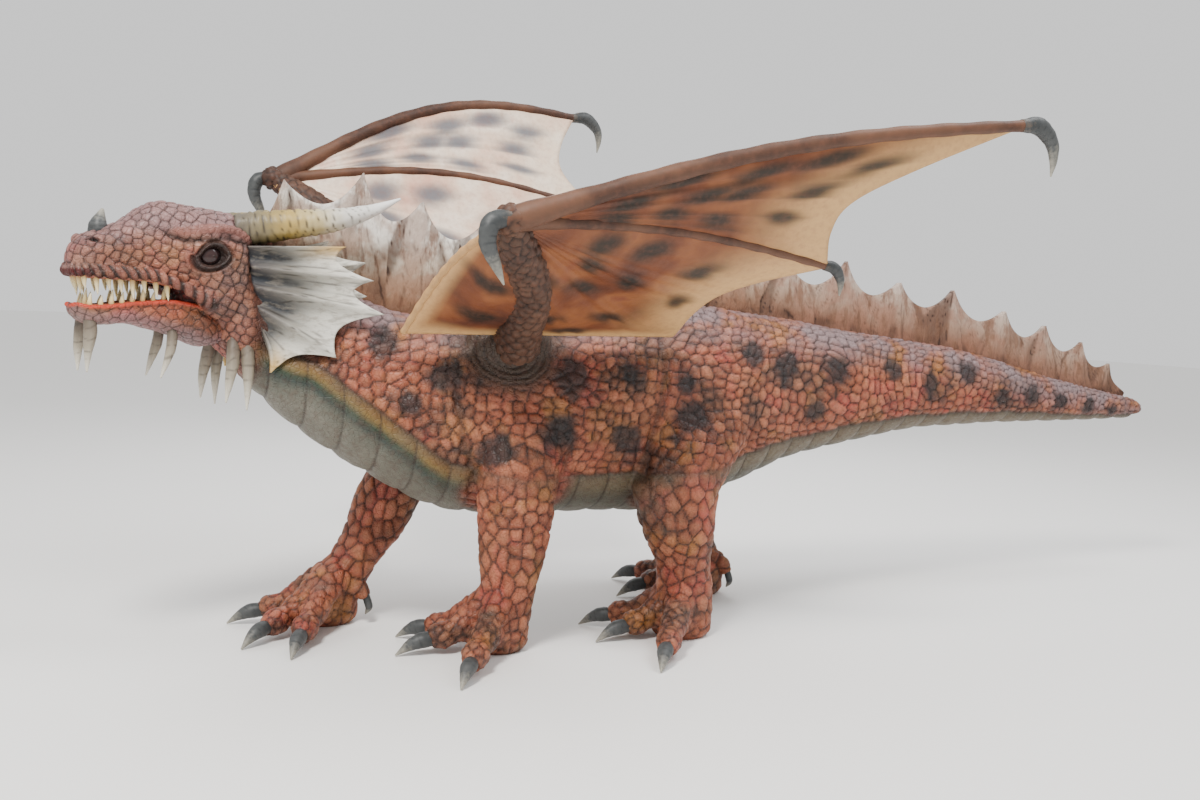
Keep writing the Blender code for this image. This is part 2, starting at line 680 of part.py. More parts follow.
def wing_sheet(wing):
    """The membrane: a fan of bowed rays round the wrist, as one closed plate."""
    wrist, rays = wing_rays(wing)
    levels = (0.0, 0.25, 0.5, 0.75, 1.0)
    grid = np.array([bowed(wrist, tip, bow, levels) for tip, bow in rays])
    normal = np.cross(np.gradient(grid, axis=1), np.gradient(grid, axis=0))
    normal /= np.linalg.norm(normal, axis=2)[..., None]
    return plate(grid + MEMBRANE_HALF * normal, grid - MEMBRANE_HALF * normal)


def wing_ribs(wing):
    """Spar, second finger and rolled front edge, each tapering along its own ray."""
    wrist, rays = wing_rays(wing)
    levels = np.array((-0.04, 0.22, 0.5, 0.78, 1.01))
    ribs = []
    for index, root, end in ((-1, SPAR_RADIUS, SPAR_RADIUS * 0.62), (-5, FINGER_RADIUS, FINGER_RADIUS * 0.6),
                             (0, EDGE_RADIUS, EDGE_RADIUS * 0.8)):
        tip, bow = rays[index]
        line = bowed(wrist, tip, bow, levels)
        ribs.append(along(line, root + (end - root) * levels, 5))
    return ribs


def wing_arm(wing):
    """The arm from its ball in the shoulder socket out to the wrist."""
    shoulder, wrist = np.array(wing["shoulder"]), np.array(wing["wrist"])
    middle = (shoulder + wrist) / 2 + np.array((0.075, 0.0, -0.005))
    rows = smooth_rows(np.vstack([
        np.r_[shoulder, 0.076], np.r_[shoulder * 0.72 + middle * 0.28, 0.078], np.r_[middle, 0.080],
        np.r_[middle * 0.35 + wrist * 0.65, 0.072], np.r_[wrist + (0.004, 0, 0.004), 0.045]]), 2)
    return along(rows[:, :3], rows[:, 3], 7)


def wing_claw_lines(wing):
    """Lines of the claws at the wrist, the finger's end and the spar's end."""
    wrist, finger, spar = np.array(wing["wrist"]), np.array(wing["finger"]), np.array(wing["spar"])
    out = math.copysign(THUMB_OUT, -wrist[1])
    return {
        "thumb": ([wrist + (-0.005, -out, 0.008), wrist + (-0.072, -out, -0.015), wrist + (-0.085, -out, -0.085),
                   wrist + (-0.050, -out, -0.165), wrist + (-0.022, -out, -0.225)],
                  (0.030, 0.034, 0.030, 0.018, 0.003)),
        "finger": ([finger + (-0.010, 0, 0.004), finger + (0.040, 0, -0.008), finger + (0.070, 0, -0.055),
                    finger + (0.068, 0, -0.115)], (0.020, 0.024, 0.017, 0.003)),
        "tip": ([spar + (-0.010, 0, 0.000), spar + (0.075, 0, 0.004), spar + (0.142, 0, -0.050),
                 spar + (0.158, 0, -0.115), spar + (0.150, 0, -0.180)], (0.024, 0.034, 0.026, 0.016, 0.003)),
    }


def build_wing(side_name):
    """One wing with its three claws seated in it."""
    wing = WINGS[side_name]
    origin = wing["shoulder"]
    made = link(side_name + "_wing", wing_sheet(wing), "wing_skin", origin)
    forms = wing_ribs(wing) + [wing_arm(wing), ball(wing["wrist"], (KNOB_RADIUS,) * 3, 4, 7),
                               ball(wing["shoulder"], (WING_BALL,) * 3, 6, 10)]
    for form in forms:
        fuse(made, link("form", form, "wing_skin"))
    claws = []
    for name, (line, radii) in wing_claw_lines(wing).items():
        claws.append(horn(side_name + "_" + name + "_claw", line, radii, "claw", 6, origin, (0, 1, 0)))
    seat(claws, made)
    return made, claws


def sphere_cutter(name, centre, radius):
    """A ball for cutting a socket."""
    return link(name, ball(centre, (radius,) * 3, 8, 12), "skin")


def jaw_clearance():
    """The room that the jaw needs: its own form swollen and drawn out past its hinge end."""
    rows = np.array(JAW, float)
    rows[:, 1] += JAW_GAP
    rows[:, 2] -= JAW_GAP + 0.20 * np.clip(0.26 - rows[:, 0], 0, 1)
    rows[:, 3] += JAW_GAP
    back = rows[0].copy()
    back[0] -= JAW_GAP + 0.020
    return head_shape(loft(box_rings(smooth_rows(np.vstack([back, rows]), 2), 14, 0.55, 0.85)))


def centre_on_origin(objects):
    """The whole part moved so that the middle of its outline stands over the origin."""
    bpy.context.view_layer.update()
    places = np.vstack([[made.matrix_world @ vert.co for vert in made.data.vertices] for made in objects])
    middle = (places.min(0) + places.max(0)) / 2
    for made in objects:
        made.location -= Vector((middle[0], middle[1], 0.0))


def main():
    """Builds every piece and seats it in the skin."""
    for old in list(bpy.data.objects):
        bpy.data.objects.remove(old)

    shapes = [loft(trunk_rings(24, 4))]
    shapes += [head_shape(one) for one in skull_shapes()]
    for leg in LEGS.values():
        shapes += leg_shapes(leg)
    skin = skin_object("body_skin", shapes, SKIN_TRIANGLES, "skin")
    flatten_soles(skin)

    hinge = tuple(head_point(*JAW_HINGE))
    jaw = skin_object("jaw", [head_shape(one) for one in jaw_shapes()], JAW_TRIANGLES, "skin", hinge, JAW_VOXEL)
    eyes, fixed, on_jaw = [], [], []

    upper_row = teeth("upper_teeth", SKULL, 2, -1, UPPER_TOOTH, (0, 0, 0))
    lower_row = teeth("lower_teeth", JAW, 1, 1, LOWER_TOOTH, hinge)

    for name, side, spread in (("left", 1, LEFT_FIN_SPREAD), ("right", -1, RIGHT_FIN_SPREAD)):
        eye = EYE_AT * np.array((1, side, 1))
        eyes.append(link(name + "_eye", head_shape(ball(eye, (EYE_RADIUS,) * 3, 6, 9)), "eye"))
        line = [(0.05, 0.095, 0.235), (-0.03, 0.125, 0.240), (-0.16, 0.195, 0.262), (-0.30, 0.255, 0.285),
                (-0.44, 0.300, 0.328), (-0.57, 0.330, 0.390)]
        path = [head_point(a, side * b, c) for a, b, c in line]
        fixed.append(horn(name + "_horn", path, (0.052, 0.064, 0.056, 0.046, 0.028, 0.003), "horn", 8))
        line = [(0.590, 0.040, -0.135), (0.592, 0.052, -0.190), (0.600, 0.055, -0.250), (0.604, 0.050, -0.335)]
        path = [head_point(a, side * b, c) for a, b, c in line]
        on_jaw.append(horn(name + "_chin_spike", path, (0.022, 0.024, 0.017, 0.003), "horn", 6, hinge, (1, 0, 0)))
        line = [(0.285, 0.060, -0.165), (0.290, 0.072, -0.225), (0.310, 0.078, -0.290), (0.335, 0.075, -0.360)]
        path = [head_point(a, side * b, c) for a, b, c in line]
        on_jaw.append(horn(name + "_jaw_spike", path, (0.018, 0.020, 0.014, 0.003), "horn", 6, hinge, (1, 0, 0)))
        line = [(0.052, 0.100, -0.215), (0.062, 0.122, -0.290), (0.078, 0.128, -0.370), (0.090, 0.122, -0.460)]
        path = [head_point(a, side * b, c) for a, b, c in line]
        fixed.append(horn(name + "_throat_spike", path, (0.024, 0.026, 0.018, 0.003), "horn", 6, up=(1, 0, 0)))
        line = [(0.005, 0.110, -0.190), (0.008, 0.142, -0.280), (0.012, 0.152, -0.380), (0.015, 0.150, -0.490)]
        path = [head_point(a, side * b, c) for a, b, c in line]
        fixed.append(horn(name + "_neck_spike", path, (0.024, 0.026, 0.018, 0.003), "horn", 6, up=(1, 0, 0)))
        fin = ear_fin_shape(side, (0.020, 0.150, 0.165), (-0.035, 0.140, -0.165),
                            ((-0.312, 0.215, 0.178), (-0.400, 0.255, 0.045), (-0.440, 0.262, -0.090),
                             (-0.270, 0.240, -0.270), (-0.050, 0.195, -0.335)), 0.20, 0.006, 0.035, spread)
        fixed.append(link(name + "_ear_fin", head_shape(fin), "fin"))
        fin = ear_fin_shape(side, (-0.125, 0.105, 0.150), (-0.135, 0.110, -0.115),
                            ((-0.290, 0.170, 0.200), (-0.430, 0.195, 0.120), (-0.430, 0.205, -0.020),
                             (-0.320, 0.190, -0.160)), 0.22, 0.006, 0.020, spread)
        fixed.append(link(name + "_rear_fin", head_shape(fin), "fin"))

    line = [(0.548, 0.0, 0.180), (0.545, 0.0, 0.212), (0.538, 0.0, 0.245), (0.528, 0.0, 0.278)]
    path = [head_point(*point) for point in line]
    fixed.append(horn("nose_horn", path, (0.034, 0.034, 0.021, 0.004), "claw", 7, up=(1, 0, 0)))
    crest = link("crest", crest_shape(), "crest")

    for name, leg in LEGS.items():
        for number, tip in enumerate(leg["toes"], start=1):
            _, line = toe_path(leg, tip)
            radii = CLAW_RADIUS * np.array([0.80, 1.0, 0.68, 0.12])
            fixed.append(horn(f"{name}_claw_{number}", line, radii, "claw", 5))
        _, line = dew_path(leg)
        fixed.append(horn(f"{name}_dewclaw", line, (0.017, 0.017, 0.003), "claw", 5, up=(1, 0, 0)))

    wings = []
    sockets = []
    for name in ("left", "right"):
        wing, claws = build_wing(name)
        wings += [wing, *claws]
        sockets.append(sphere_cutter(name + "_socket", WINGS[name]["shoulder"], WING_BALL + WING_GAP))

    room = link("jaw_room", jaw_clearance(), "skin")
    cut(skin, [swollen(eye, SEAT_GAP) for eye in eyes] + sockets + [room])
    seat(fixed, skin)
    seat([crest, upper_row], skin, ROW_GAP)
    seat(on_jaw, jaw)
    seat([lower_row], jaw, ROW_GAP)

    everything = [skin, jaw, crest, upper_row, lower_row, *eyes, *fixed, *on_jaw, *wings]
    for made in everything:
        made.data.shade_smooth()
        made.data.set_sharp_from_angle(angle=math.radians(50.0))
    centre_on_origin(everything)


main()
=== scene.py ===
"""The looks of the animatronic dragon: painted rubber skin with moulded scales, cast horns, claws and teeth.

Metres. The shapes are worked out in the dragon's own frame (head towards -X, its left side -Y, spine over
y = 0, ground at z = 0), and SHIFT takes them to the frame's place. Head places are (forward, left, height).
"""

import json
import math

import bpy
import numpy as np
from mathutils import Matrix, Vector


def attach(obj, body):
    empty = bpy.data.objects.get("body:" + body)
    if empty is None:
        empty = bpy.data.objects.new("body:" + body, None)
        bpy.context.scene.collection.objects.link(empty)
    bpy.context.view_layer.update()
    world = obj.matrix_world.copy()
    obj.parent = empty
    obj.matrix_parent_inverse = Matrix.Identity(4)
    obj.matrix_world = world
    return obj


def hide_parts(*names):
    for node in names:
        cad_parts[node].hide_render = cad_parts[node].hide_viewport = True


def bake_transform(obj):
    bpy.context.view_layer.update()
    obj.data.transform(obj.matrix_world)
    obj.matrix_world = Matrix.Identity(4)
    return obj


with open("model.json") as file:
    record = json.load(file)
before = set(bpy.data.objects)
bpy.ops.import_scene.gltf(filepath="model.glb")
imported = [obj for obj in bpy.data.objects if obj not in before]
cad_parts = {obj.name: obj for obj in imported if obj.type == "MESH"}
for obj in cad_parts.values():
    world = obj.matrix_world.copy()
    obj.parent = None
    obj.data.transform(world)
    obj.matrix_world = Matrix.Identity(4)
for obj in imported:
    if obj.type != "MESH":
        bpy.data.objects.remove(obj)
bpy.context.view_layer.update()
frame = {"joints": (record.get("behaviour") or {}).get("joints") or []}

# The left wing's hinge is where the left shoulder is in the dragon's own frame
SHOULDER = {"left": (-0.60, -0.335, 1.31), "right": (-0.60, 0.335, 1.31)}
HINGE = next(joint for joint in frame["joints"] if joint["name"] == "left_wing_hinge")
SHIFT = np.array(HINGE["pos_m"]) - SHOULDER["left"]

# Camera: place and axes in the dragon's own frame, from the photo's vanishing lines
CAMERA_AT = (-2.323, -5.096, 1.500)
CAMERA_FORWARD = (0.4053, 0.9104, -0.0830)
CAMERA_RIGHT = (0.9142, -0.4038, 0.0348)
CAMERA_LENS = 36.0
CAMERA_SENSOR = 36.0

# Skin mesh
SKIN_VOXEL = 0.0090
JAW_VOXEL = 0.0045
BODY_SOFTEN = 8
HEAD_SOFTEN = 3
HEAD_CUT = -1.50
HEAD_FLOOR = 0.8
SKIN_CUTS = (HEAD_CUT, -0.30, 0.80)

# Trunk stations from the head to the tail tip: x, z, height above, depth below, half width
TRUNK = (
    (-1.88, 1.52, 0.15, 0.15, 0.11), (-1.60, 1.40, 0.26, 0.24, 0.19), (-1.35, 1.22, 0.30, 0.29, 0.23),
    (-1.08, 1.08, 0.35, 0.34, 0.30), (-0.78, 1.00, 0.43, 0.43, 0.38), (-0.45, 0.985, 0.46, 0.45, 0.41),
    (-0.10, 0.99, 0.47, 0.46, 0.39), (0.25, 1.00, 0.48, 0.47, 0.38), (0.55, 1.03, 0.46, 0.40, 0.35),
    (0.85, 1.07, 0.38, 0.33, 0.29), (1.20, 1.08, 0.32, 0.27, 0.245), (1.65, 1.10, 0.25, 0.215, 0.20),
    (2.10, 1.085, 0.20, 0.175, 0.16), (2.60, 1.04, 0.13, 0.12, 0.115), (3.05, 1.00, 0.085, 0.075, 0.075),
    (3.30, 0.985, 0.055, 0.05, 0.05), (3.385, 0.98, 0.02, 0.02, 0.02),
)
TRUNK_POWER = 0.92

HEAD_AT = (-1.70, 0.0, 1.50)
HEAD_TURN = math.radians(18.0)

# Skull stations: forward, top, upper lip, half width
SKULL = (
    (-0.16, 0.18, -0.14, 0.08), (-0.08, 0.255, -0.20, 0.145), (0.02, 0.290, -0.20, 0.172),
    (0.13, 0.306, -0.15, 0.175), (0.22, 0.311, -0.062, 0.155), (0.28, 0.320, -0.020, 0.135),
    (0.34, 0.318, 0.004, 0.122), (0.40, 0.285, 0.015, 0.112), (0.46, 0.238, 0.018, 0.104),
    (0.53, 0.208, 0.020, 0.100), (0.60, 0.178, 0.022, 0.090), (0.645, 0.135, 0.030, 0.060),
    (0.660, 0.090, 0.060, 0.020),
)

# Lower jaw stations: forward, lip height, underside, half width
JAW = (
    (0.080, -0.115, -0.225, 0.090), (0.125, -0.105, -0.235, 0.108), (0.165, -0.090, -0.240, 0.124),
    (0.220, -0.072, -0.220, 0.120), (0.300, -0.060, -0.188, 0.104), (0.375, -0.066, -0.170, 0.092),
    (0.450, -0.073, -0.152, 0.088), (0.530, -0.084, -0.158, 0.084), (0.600, -0.087, -0.153, 0.074),
    (0.642, -0.078, -0.125, 0.048), (0.655, -0.085, -0.105, 0.016),
)

LIP_RADIUS = 0.0105

TEETH_A_SIDE = 9
# Length, radius, distance in from the lip and the row's front end
UPPER_TOOTH = (0.064, 0.0108, 0.008, 0.622)
LOWER_TOOTH = (0.056, 0.0102, 0.010, 0.604)
TEETH_FROM = 0.300
TOOTH_BEND = 0.006
GUM_RADIUS = 0.0105

EYE_AT = (0.165, 0.112, 0.118)
EYE_RADIUS = 0.052

# Middle lines of the left horn and the nose horn: forward, left, height
HORN = (
    (0.05, 0.095, 0.235), (-0.03, 0.125, 0.240), (-0.16, 0.195, 0.262), (-0.30, 0.255, 0.285),
    (-0.44, 0.300, 0.328), (-0.57, 0.330, 0.390),
)
HORN_RADII = (0.052, 0.064, 0.056, 0.046, 0.028, 0.004)
NOSE_HORN = ((0.548, 0.0, 0.170), (0.545, 0.0, 0.212), (0.538, 0.0, 0.245), (0.528, 0.0, 0.278))

# Hanging spikes on the left: name, end of the node's name, body, radii, middle line
SPIKES = (
    ("chin", "_chin_spike", "jaw", (0.022, 0.024, 0.017, 0.003),
     ((0.590, 0.040, -0.120), (0.592, 0.052, -0.190), (0.600, 0.055, -0.250), (0.604, 0.050, -0.335))),
    ("underjaw", "_jaw_spike", "jaw", (0.018, 0.020, 0.014, 0.003),
     ((0.285, 0.060, -0.150), (0.290, 0.072, -0.225), (0.310, 0.078, -0.290), (0.335, 0.075, -0.360))),
    ("throat", "_throat_spike", "root", (0.024, 0.026, 0.018, 0.003),
     ((0.052, 0.100, -0.200), (0.062, 0.122, -0.290), (0.078, 0.128, -0.370), (0.090, 0.122, -0.460))),
    ("neck", "_neck_spike", "root", (0.024, 0.026, 0.018, 0.003),
     ((0.005, 0.110, -0.180), (0.008, 0.142, -0.280), (0.012, 0.152, -0.380), (0.015, 0.150, -0.490))),
)

# Fans behind a cheek: ends of the names of piece and node, upper and lower end of the root, tips of the rays,
# how deep the edge dips between them, how far the web bows out and which rays have yellow tips
FANS = (
    ("_cheek_fan", "_ear_fin", (0.020, 0.150, 0.165), (-0.035, 0.140, -0.165),
     ((-0.312, 0.215, 0.178), (-0.400, 0.255, 0.045), (-0.440, 0.262, -0.090), (-0.270, 0.240, -0.270),
      (-0.050, 0.195, -0.335)), 0.20, 0.035, (0, 4)),
    ("_neck_fan", "_rear_fin", (-0.125, 0.105, 0.150), (-0.135, 0.110, -0.115),
     ((-0.290, 0.170, 0.200), (-0.430, 0.195, 0.120), (-0.430, 0.205, -0.020), (-0.320, 0.190, -0.160)),
     0.22, 0.020, ()),
)
FAN_HALF = 0.006
FAN_GRID = (81, 41)

# Legs: (x, y, z, radius along x, radius along y) down the leg, then the toes' tips
LEGS = {
    "front_left": {
        "line": ((-0.56, -0.26, 1.02, 0.20, 0.16), (-0.56, -0.33, 0.82, 0.19, 0.15),
                 (-0.585, -0.36, 0.61, 0.165, 0.14), (-0.60, -0.36, 0.40, 0.140, 0.125),
                 (-0.61, -0.35, 0.26, 0.118, 0.112), (-0.64, -0.34, 0.13, 0.130, 0.120),
                 (-0.65, -0.34, 0.03, 0.125, 0.115)),
        "toes": ((-1.09, -0.33), (-0.96, -0.83), (-1.02, -0.06)), "dew": (-0.56, -0.16),
    },
    "front_right": {
        "line": ((-0.66, 0.26, 1.02, 0.20, 0.16), (-0.80, 0.31, 0.80, 0.19, 0.15),
                 (-0.95, 0.32, 0.60, 0.160, 0.14), (-1.03, 0.31, 0.42, 0.140, 0.125),
                 (-1.13, 0.30, 0.28, 0.118, 0.112), (-1.23, 0.29, 0.13, 0.130, 0.120),
                 (-1.25, 0.29, 0.03, 0.125, 0.115)),
        "toes": ((-1.67, -0.06), (-1.50, -0.26), (-1.68, 0.36)), "dew": (-1.10, 0.20),
    },
    "hind_left": {
        "line": ((0.36, -0.22, 1.02, 0.29, 0.17), (0.26, -0.31, 0.84, 0.25, 0.17),
                 (0.17, -0.37, 0.66, 0.205, 0.155), (0.18, -0.39, 0.48, 0.165, 0.14),
                 (0.21, -0.38, 0.34, 0.125, 0.12), (0.23, -0.37, 0.20, 0.130, 0.12),
                 (0.22, -0.37, 0.11, 0.140, 0.125), (0.22, -0.37, 0.03, 0.130, 0.115)),
        "toes": ((-0.21, -0.39), (-0.13, -0.87), (-0.17, -0.10)), "dew": (0.34, -0.22),
    },
    "hind_right": {
        "line": ((0.40, 0.22, 1.02, 0.29, 0.17), (0.44, 0.31, 0.84, 0.25, 0.17),
                 (0.50, 0.36, 0.66, 0.205, 0.155), (0.56, 0.36, 0.48, 0.165, 0.14),
                 (0.61, 0.34, 0.34, 0.125, 0.12), (0.66, 0.33, 0.20, 0.130, 0.12),
                 (0.67, 0.32, 0.11, 0.140, 0.125), (0.67, 0.32, 0.03, 0.130, 0.115)),
        "toes": ((0.22, 0.33), (0.30, 0.04), (0.36, 0.70)), "dew": (0.78, 0.20),
    },
}
CLAW_LENGTH = 0.155
CLAW_RADIUS = 0.033
TOE_RADIUS = 0.058

CREST_TIPS = (
    (-1.53, 1.95), (-1.21, 2.00), (-0.95, 1.90), (-0.65, 1.84), (-0.33, 1.83), (0.00, 1.81),
    (0.32, 1.79), (0.62, 1.76), (0.92, 1.73), (1.26, 1.74), (1.61, 1.65), (1.95, 1.62),
    (2.32, 1.52), (2.60, 1.45), (2.89, 1.36), (3.11, 1.24),
)
CREST_ENDS = (-1.66, 3.24)
CREST_DIP = 0.38
CREST_GRID = (600, 24)

WINGS = {
    "left": {
        "shoulder": SHOULDER["left"], "wrist": (-0.93, -1.15, 1.765), "spar": (1.00, -1.50, 2.215),
        "finger": (0.44, -1.06, 1.665), "front": (-1.09, -0.36, 1.345), "rear": (0.12, -0.375, 1.355),
        "bows": (-0.02, 0.05, 0.075), "tip_scallop": 0.19,
    },
    "right": {
        "shoulder": SHOULDER["right"], "wrist": (-1.40, 1.02, 2.04), "spar": (0.30, 1.30, 2.52),
        "finger": (0.36, 1.00, 1.97), "front": (-1.11, 0.36, 1.40), "rear": (0.12, 0.375, 1.355),
        "bows": (-0.02, 0.12, 0.19), "tip_scallop": 0.10,
    },
}

WING_GRID = (116, 68)
ARM_SCALE = 0.044
ARM_RELIEF = 0.010

# Where the belly's plates begin on the flank: x, z
BELLY_LINE = (
    (-2.20, 1.42), (-1.75, 1.33), (-1.42, 1.215), (-1.14, 1.01), (-0.87, 0.80), (-0.55, 0.74), (-0.10, 0.735),
    (0.40, 0.77), (0.90, 0.88), (1.50, 0.955), (2.00, 0.980), (3.40, 0.940),
)
PLATE_LENGTH = 0.150

# Dark spots on the flank: x, z, radius
SPOTS = (
    (-1.15, 1.28, 0.075), (-0.90, 1.15, 0.085), (-1.04, 1.05, 0.060), (-0.36, 1.16, 0.115), (-0.41, 0.94, 0.090),
    (-0.10, 0.89, 0.080), (-0.07, 1.18, 0.065), (0.20, 1.14, 0.060), (0.23, 1.00, 0.095), (0.57, 1.26, 0.070),
    (0.78, 1.22, 0.080), (0.94, 1.01, 0.070), (1.10, 1.20, 0.085), (1.46, 1.20, 0.055), (1.71, 1.12, 0.085),
    (1.97, 1.19, 0.070), (2.21, 1.07, 0.060), (2.44, 1.06, 0.065), (2.68, 1.03, 0.060), (2.90, 1.00, 0.055),
    (3.11, 0.98, 0.050), (-0.72, 0.86, 0.070),
)

# Folds in the skin before the legs: the line in x and z, depth, width
FOLDS = (
    (((0.11, 1.353), (0.09, 1.157), (0.046, 0.937), (-0.019, 0.716)), 0.016, 0.018),
    (((-0.86, 1.10), (-0.83, 0.90), (-0.76, 0.74)), 0.010, 0.016),
    (((-0.36, 0.86), (-0.40, 0.74), (-0.43, 0.62)), 0.012, 0.016),
)

# Rows of dark spots on a wing: ray it lies on, share of the ray where it begins, step
WING_SPOTS = (
    (1.2, 0.42, 0.30), (2.9, 0.40, 0.26), (4.4, 0.46, 0.27), (6.2, 0.35, 0.24), (7.9, 0.30, 0.22),
    (10.2, 0.28, 0.17), (11.4, 0.32, 0.16), (12.3, 0.38, 0.16),
)

# Floats painted on the skin's points, which its material reads; some carry painted shade and painted highlight
SKIN_PAINTS = ("groove_wash_and_shade", "tone", "belly", "band", "spot", "moss", "rear", "top", "back", "snout", "lip", "mouth",
               "dark", "pink")


def linear(text):
    """An sRGB hex colour as linear RGBA."""
    parts = [int(text[k:k + 2], 16) / 255 for k in (1, 3, 5)]
    return (*[part / 12.92 if part <= 0.04045 else ((part + 0.055) / 1.055) ** 2.4 for part in parts], 1.0)


def smooth(low, high, value):
    """0 below low, 1 above high and a soft step between."""
    share = np.clip((value - low) / (high - low), 0, 1)
    return share * share * (3 - 2 * share)


def smooth_rows(rows, steps):
    """Catmull-Rom curve through the rows, with that many steps between each two."""
    rows = np.asarray(rows, float)
    ends = np.vstack([2 * rows[0] - rows[1], rows, 2 * rows[-1] - rows[-2]])
    t = (np.arange(steps) / steps)[None, :, None]
    before, start, end, after = (ends[k:len(rows) - 1 + k, None] for k in range(4))
    curve = 0.5 * (2 * start + (end - before) * t + (2 * before - 5 * start + 4 * end - after) * t ** 2
                   + (3 * start - before - 3 * end + after) * t ** 3)
    return np.vstack([curve.reshape(-1, rows.shape[1]), rows[-1:]])


def at_marks(marks, places, rows):
    """The rows, which lie at the places, read at the marks."""
    return np.stack([np.interp(marks, places, column) for column in rows.T], axis=1)


def resampled(rows, count):
    """The rows at that many even steps of the length along their first three columns."""
    reach = np.r_[0, np.cumsum(np.linalg.norm(np.diff(rows[:, :3], axis=0), axis=1))]
    return at_marks(np.linspace(0, reach[-1], count), reach, rows)


def over(base, share, top):
    """The base, and the top where the share says so."""
    return base * (1 - share) + share * top


def value_noise(points, size, seed=0):
    """Smooth random field in -1..1: random values at the corners of cubes of that size, blended between."""
    place = points / size
    base = np.floor(place).astype(np.int64)
    share = place - base
    share = share * share * (3 - 2 * share)
    total = np.zeros(len(points))
    for corner in np.ndindex(2, 2, 2):
        at = base + corner
        mixed = (at[:, 0] * 73856093) ^ (at[:, 1] * 19349663) ^ (at[:, 2] * 83492791)
        mixed ^= seed * 2654435761 + 97
        mixed &= 0xFFFFFFFF
        mixed = ((mixed ^ (mixed >> 15)) * 2246822519) & 0xFFFFFFFF
        mixed = ((mixed ^ (mixed >> 13)) * 3266489917) & 0xFFFFFFFF
        value = (mixed >> 16) / 32767.5 - 1
        total += value * np.prod(np.where(np.array(corner) == 1, share, 1 - share), axis=1)
    return total


def scale_cells(points, size, seed):
    """Scales on a surface: seeds are the surface's own points, one to each box of a turned grid.

    Seeds that crowd each other are dropped and the rest moved twice to the middle of their points. Gives, in
    sizes, each point's distance to the border between its two nearest seeds and its place from front to back
    of its scale, and a random number that is the same all over a scale.
    """
    rng = np.random.default_rng(seed)
    turn = np.linalg.qr(rng.normal(size=(3, 3)))[0]
    place = points @ turn / size
    cell = np.floor(place).astype(np.int64)
    cell -= cell.min(0) - 1
    place -= np.floor(place).min(0) - 1
    shape = cell.max(0) + 2
    key = np.ravel_multi_index(cell.T, shape)
    keys, inverse, counts = np.unique(key, return_inverse=True, return_counts=True)
    target = 0.5 + 0.6 * (rng.random((len(keys), 3)) - 0.5)
    off = ((place - cell - target[inverse]) ** 2).sum(1)
    order = np.lexsort((off, inverse))
    first = np.r_[0, np.cumsum(counts)[:-1]]
    kept = counts > 0.40 * np.median(counts)
    seeds, weight, home = place[order[first]], counts * kept, cell[order[first]]
    table = np.full(int(np.prod(shape)), -1, np.int64)
    for final in (False, True):
        table[keys[kept]] = np.flatnonzero(kept)
        if not final:
            for offset in np.ndindex(3, 3, 3):
                found = table[np.ravel_multi_index((home + np.array(offset) - 1).T, shape)]
                gap = np.linalg.norm(seeds - seeds[found], axis=1)
                same = (weight[found] == weight) & (found > np.arange(len(seeds)))
                heavier = (weight[found] > weight) | same
                kept &= ~((found >= 0) & (gap < 0.62) & heavier)
            table[:] = -1
    for relax in (True, True, False):
        near = np.full((2, len(points)), 9.0)
        who = np.zeros((2, len(points)), np.int64)
        for offset in np.ndindex(3, 3, 3):
            found = table[np.ravel_multi_index((cell + np.array(offset) - 1).T, shape)]
            gap = np.where(found >= 0, np.linalg.norm(place - seeds[found], axis=1), 9.0)
            nearer = gap < near[0]
            second = ~nearer & (gap < near[1])
            near[1] = np.where(nearer, near[0], np.where(second, gap, near[1]))
            who[1] = np.where(nearer, who[0], np.where(second, found, who[1]))
            near[0] = np.where(nearer, gap, near[0])
            who[0] = np.where(nearer, found, who[0])
        members = np.bincount(who[0], minlength=len(seeds))
        if relax:
            mean = np.stack([np.bincount(who[0], place[:, k], len(seeds)) for k in range(3)], axis=1)
            seeds = np.where(members[:, None] > 0, mean / np.maximum(members, 1)[:, None], seeds)
    apart = np.maximum(np.linalg.norm(seeds[who[0]] - seeds[who[1]], axis=1), 0.2)
    border = np.where(near[1] < 9, (near[1] ** 2 - near[0] ** 2) / (2 * apart), 0.5)
    back = np.bincount(who[0], points[:, 0], len(seeds)) / np.maximum(members, 1)
    tilt = np.clip((points[:, 0] - back[who[0]]) / size, -0.5, 0.5)
    return border, tilt, rng.random(len(seeds))[who[0]]


def grid_faces(rows, columns, closed):
    """Quads between neighbouring points of a grid, also from the last column to the first where closed."""
    row = np.arange(rows - 1)[:, None]
    column = np.arange(columns if closed else columns - 1)[None]
    beside = (column + 1) % columns
    corners = (row * columns + column, row * columns + beside, (row + 1) * columns + beside,
               (row + 1) * columns + column)
    return np.stack(np.broadcast_arrays(*corners), axis=-1).reshape(-1, 4)


def outward(verts, faces):
    """(points, faces) with the faces pointing out, told by the sign of the volume inside them."""
    total = 0.0
    for block in faces:
        for k in range(1, block.shape[1] - 1):
            one, two, three = verts[block[:, 0]], verts[block[:, k]], verts[block[:, k + 1]]
            total += np.einsum("ij,ij->", one, np.cross(two, three))
    return verts, [block[:, ::-1] if total < 0 else block for block in faces]


def sheet(upper, lower):
    """A thin closed shape between two grids of points, one over the other, with a rim of quads round them."""
    rows, columns = upper.shape[:2]
    count = rows * columns
    grid = grid_faces(rows, columns, False)
    i, j = np.arange(rows), np.arange(columns)
    loop = np.concatenate([i[:-1] * columns, (rows - 1) * columns + j[:-1],
                           i[::-1][:-1] * columns + columns - 1, j[::-1][:-1]])
    beside = np.roll(loop, -1)
    rim = np.stack([loop, beside, count + beside, count + loop], axis=1)
    return outward(np.vstack([upper.reshape(-1, 3), lower.reshape(-1, 3)]), [grid, count + grid[:, ::-1], rim])


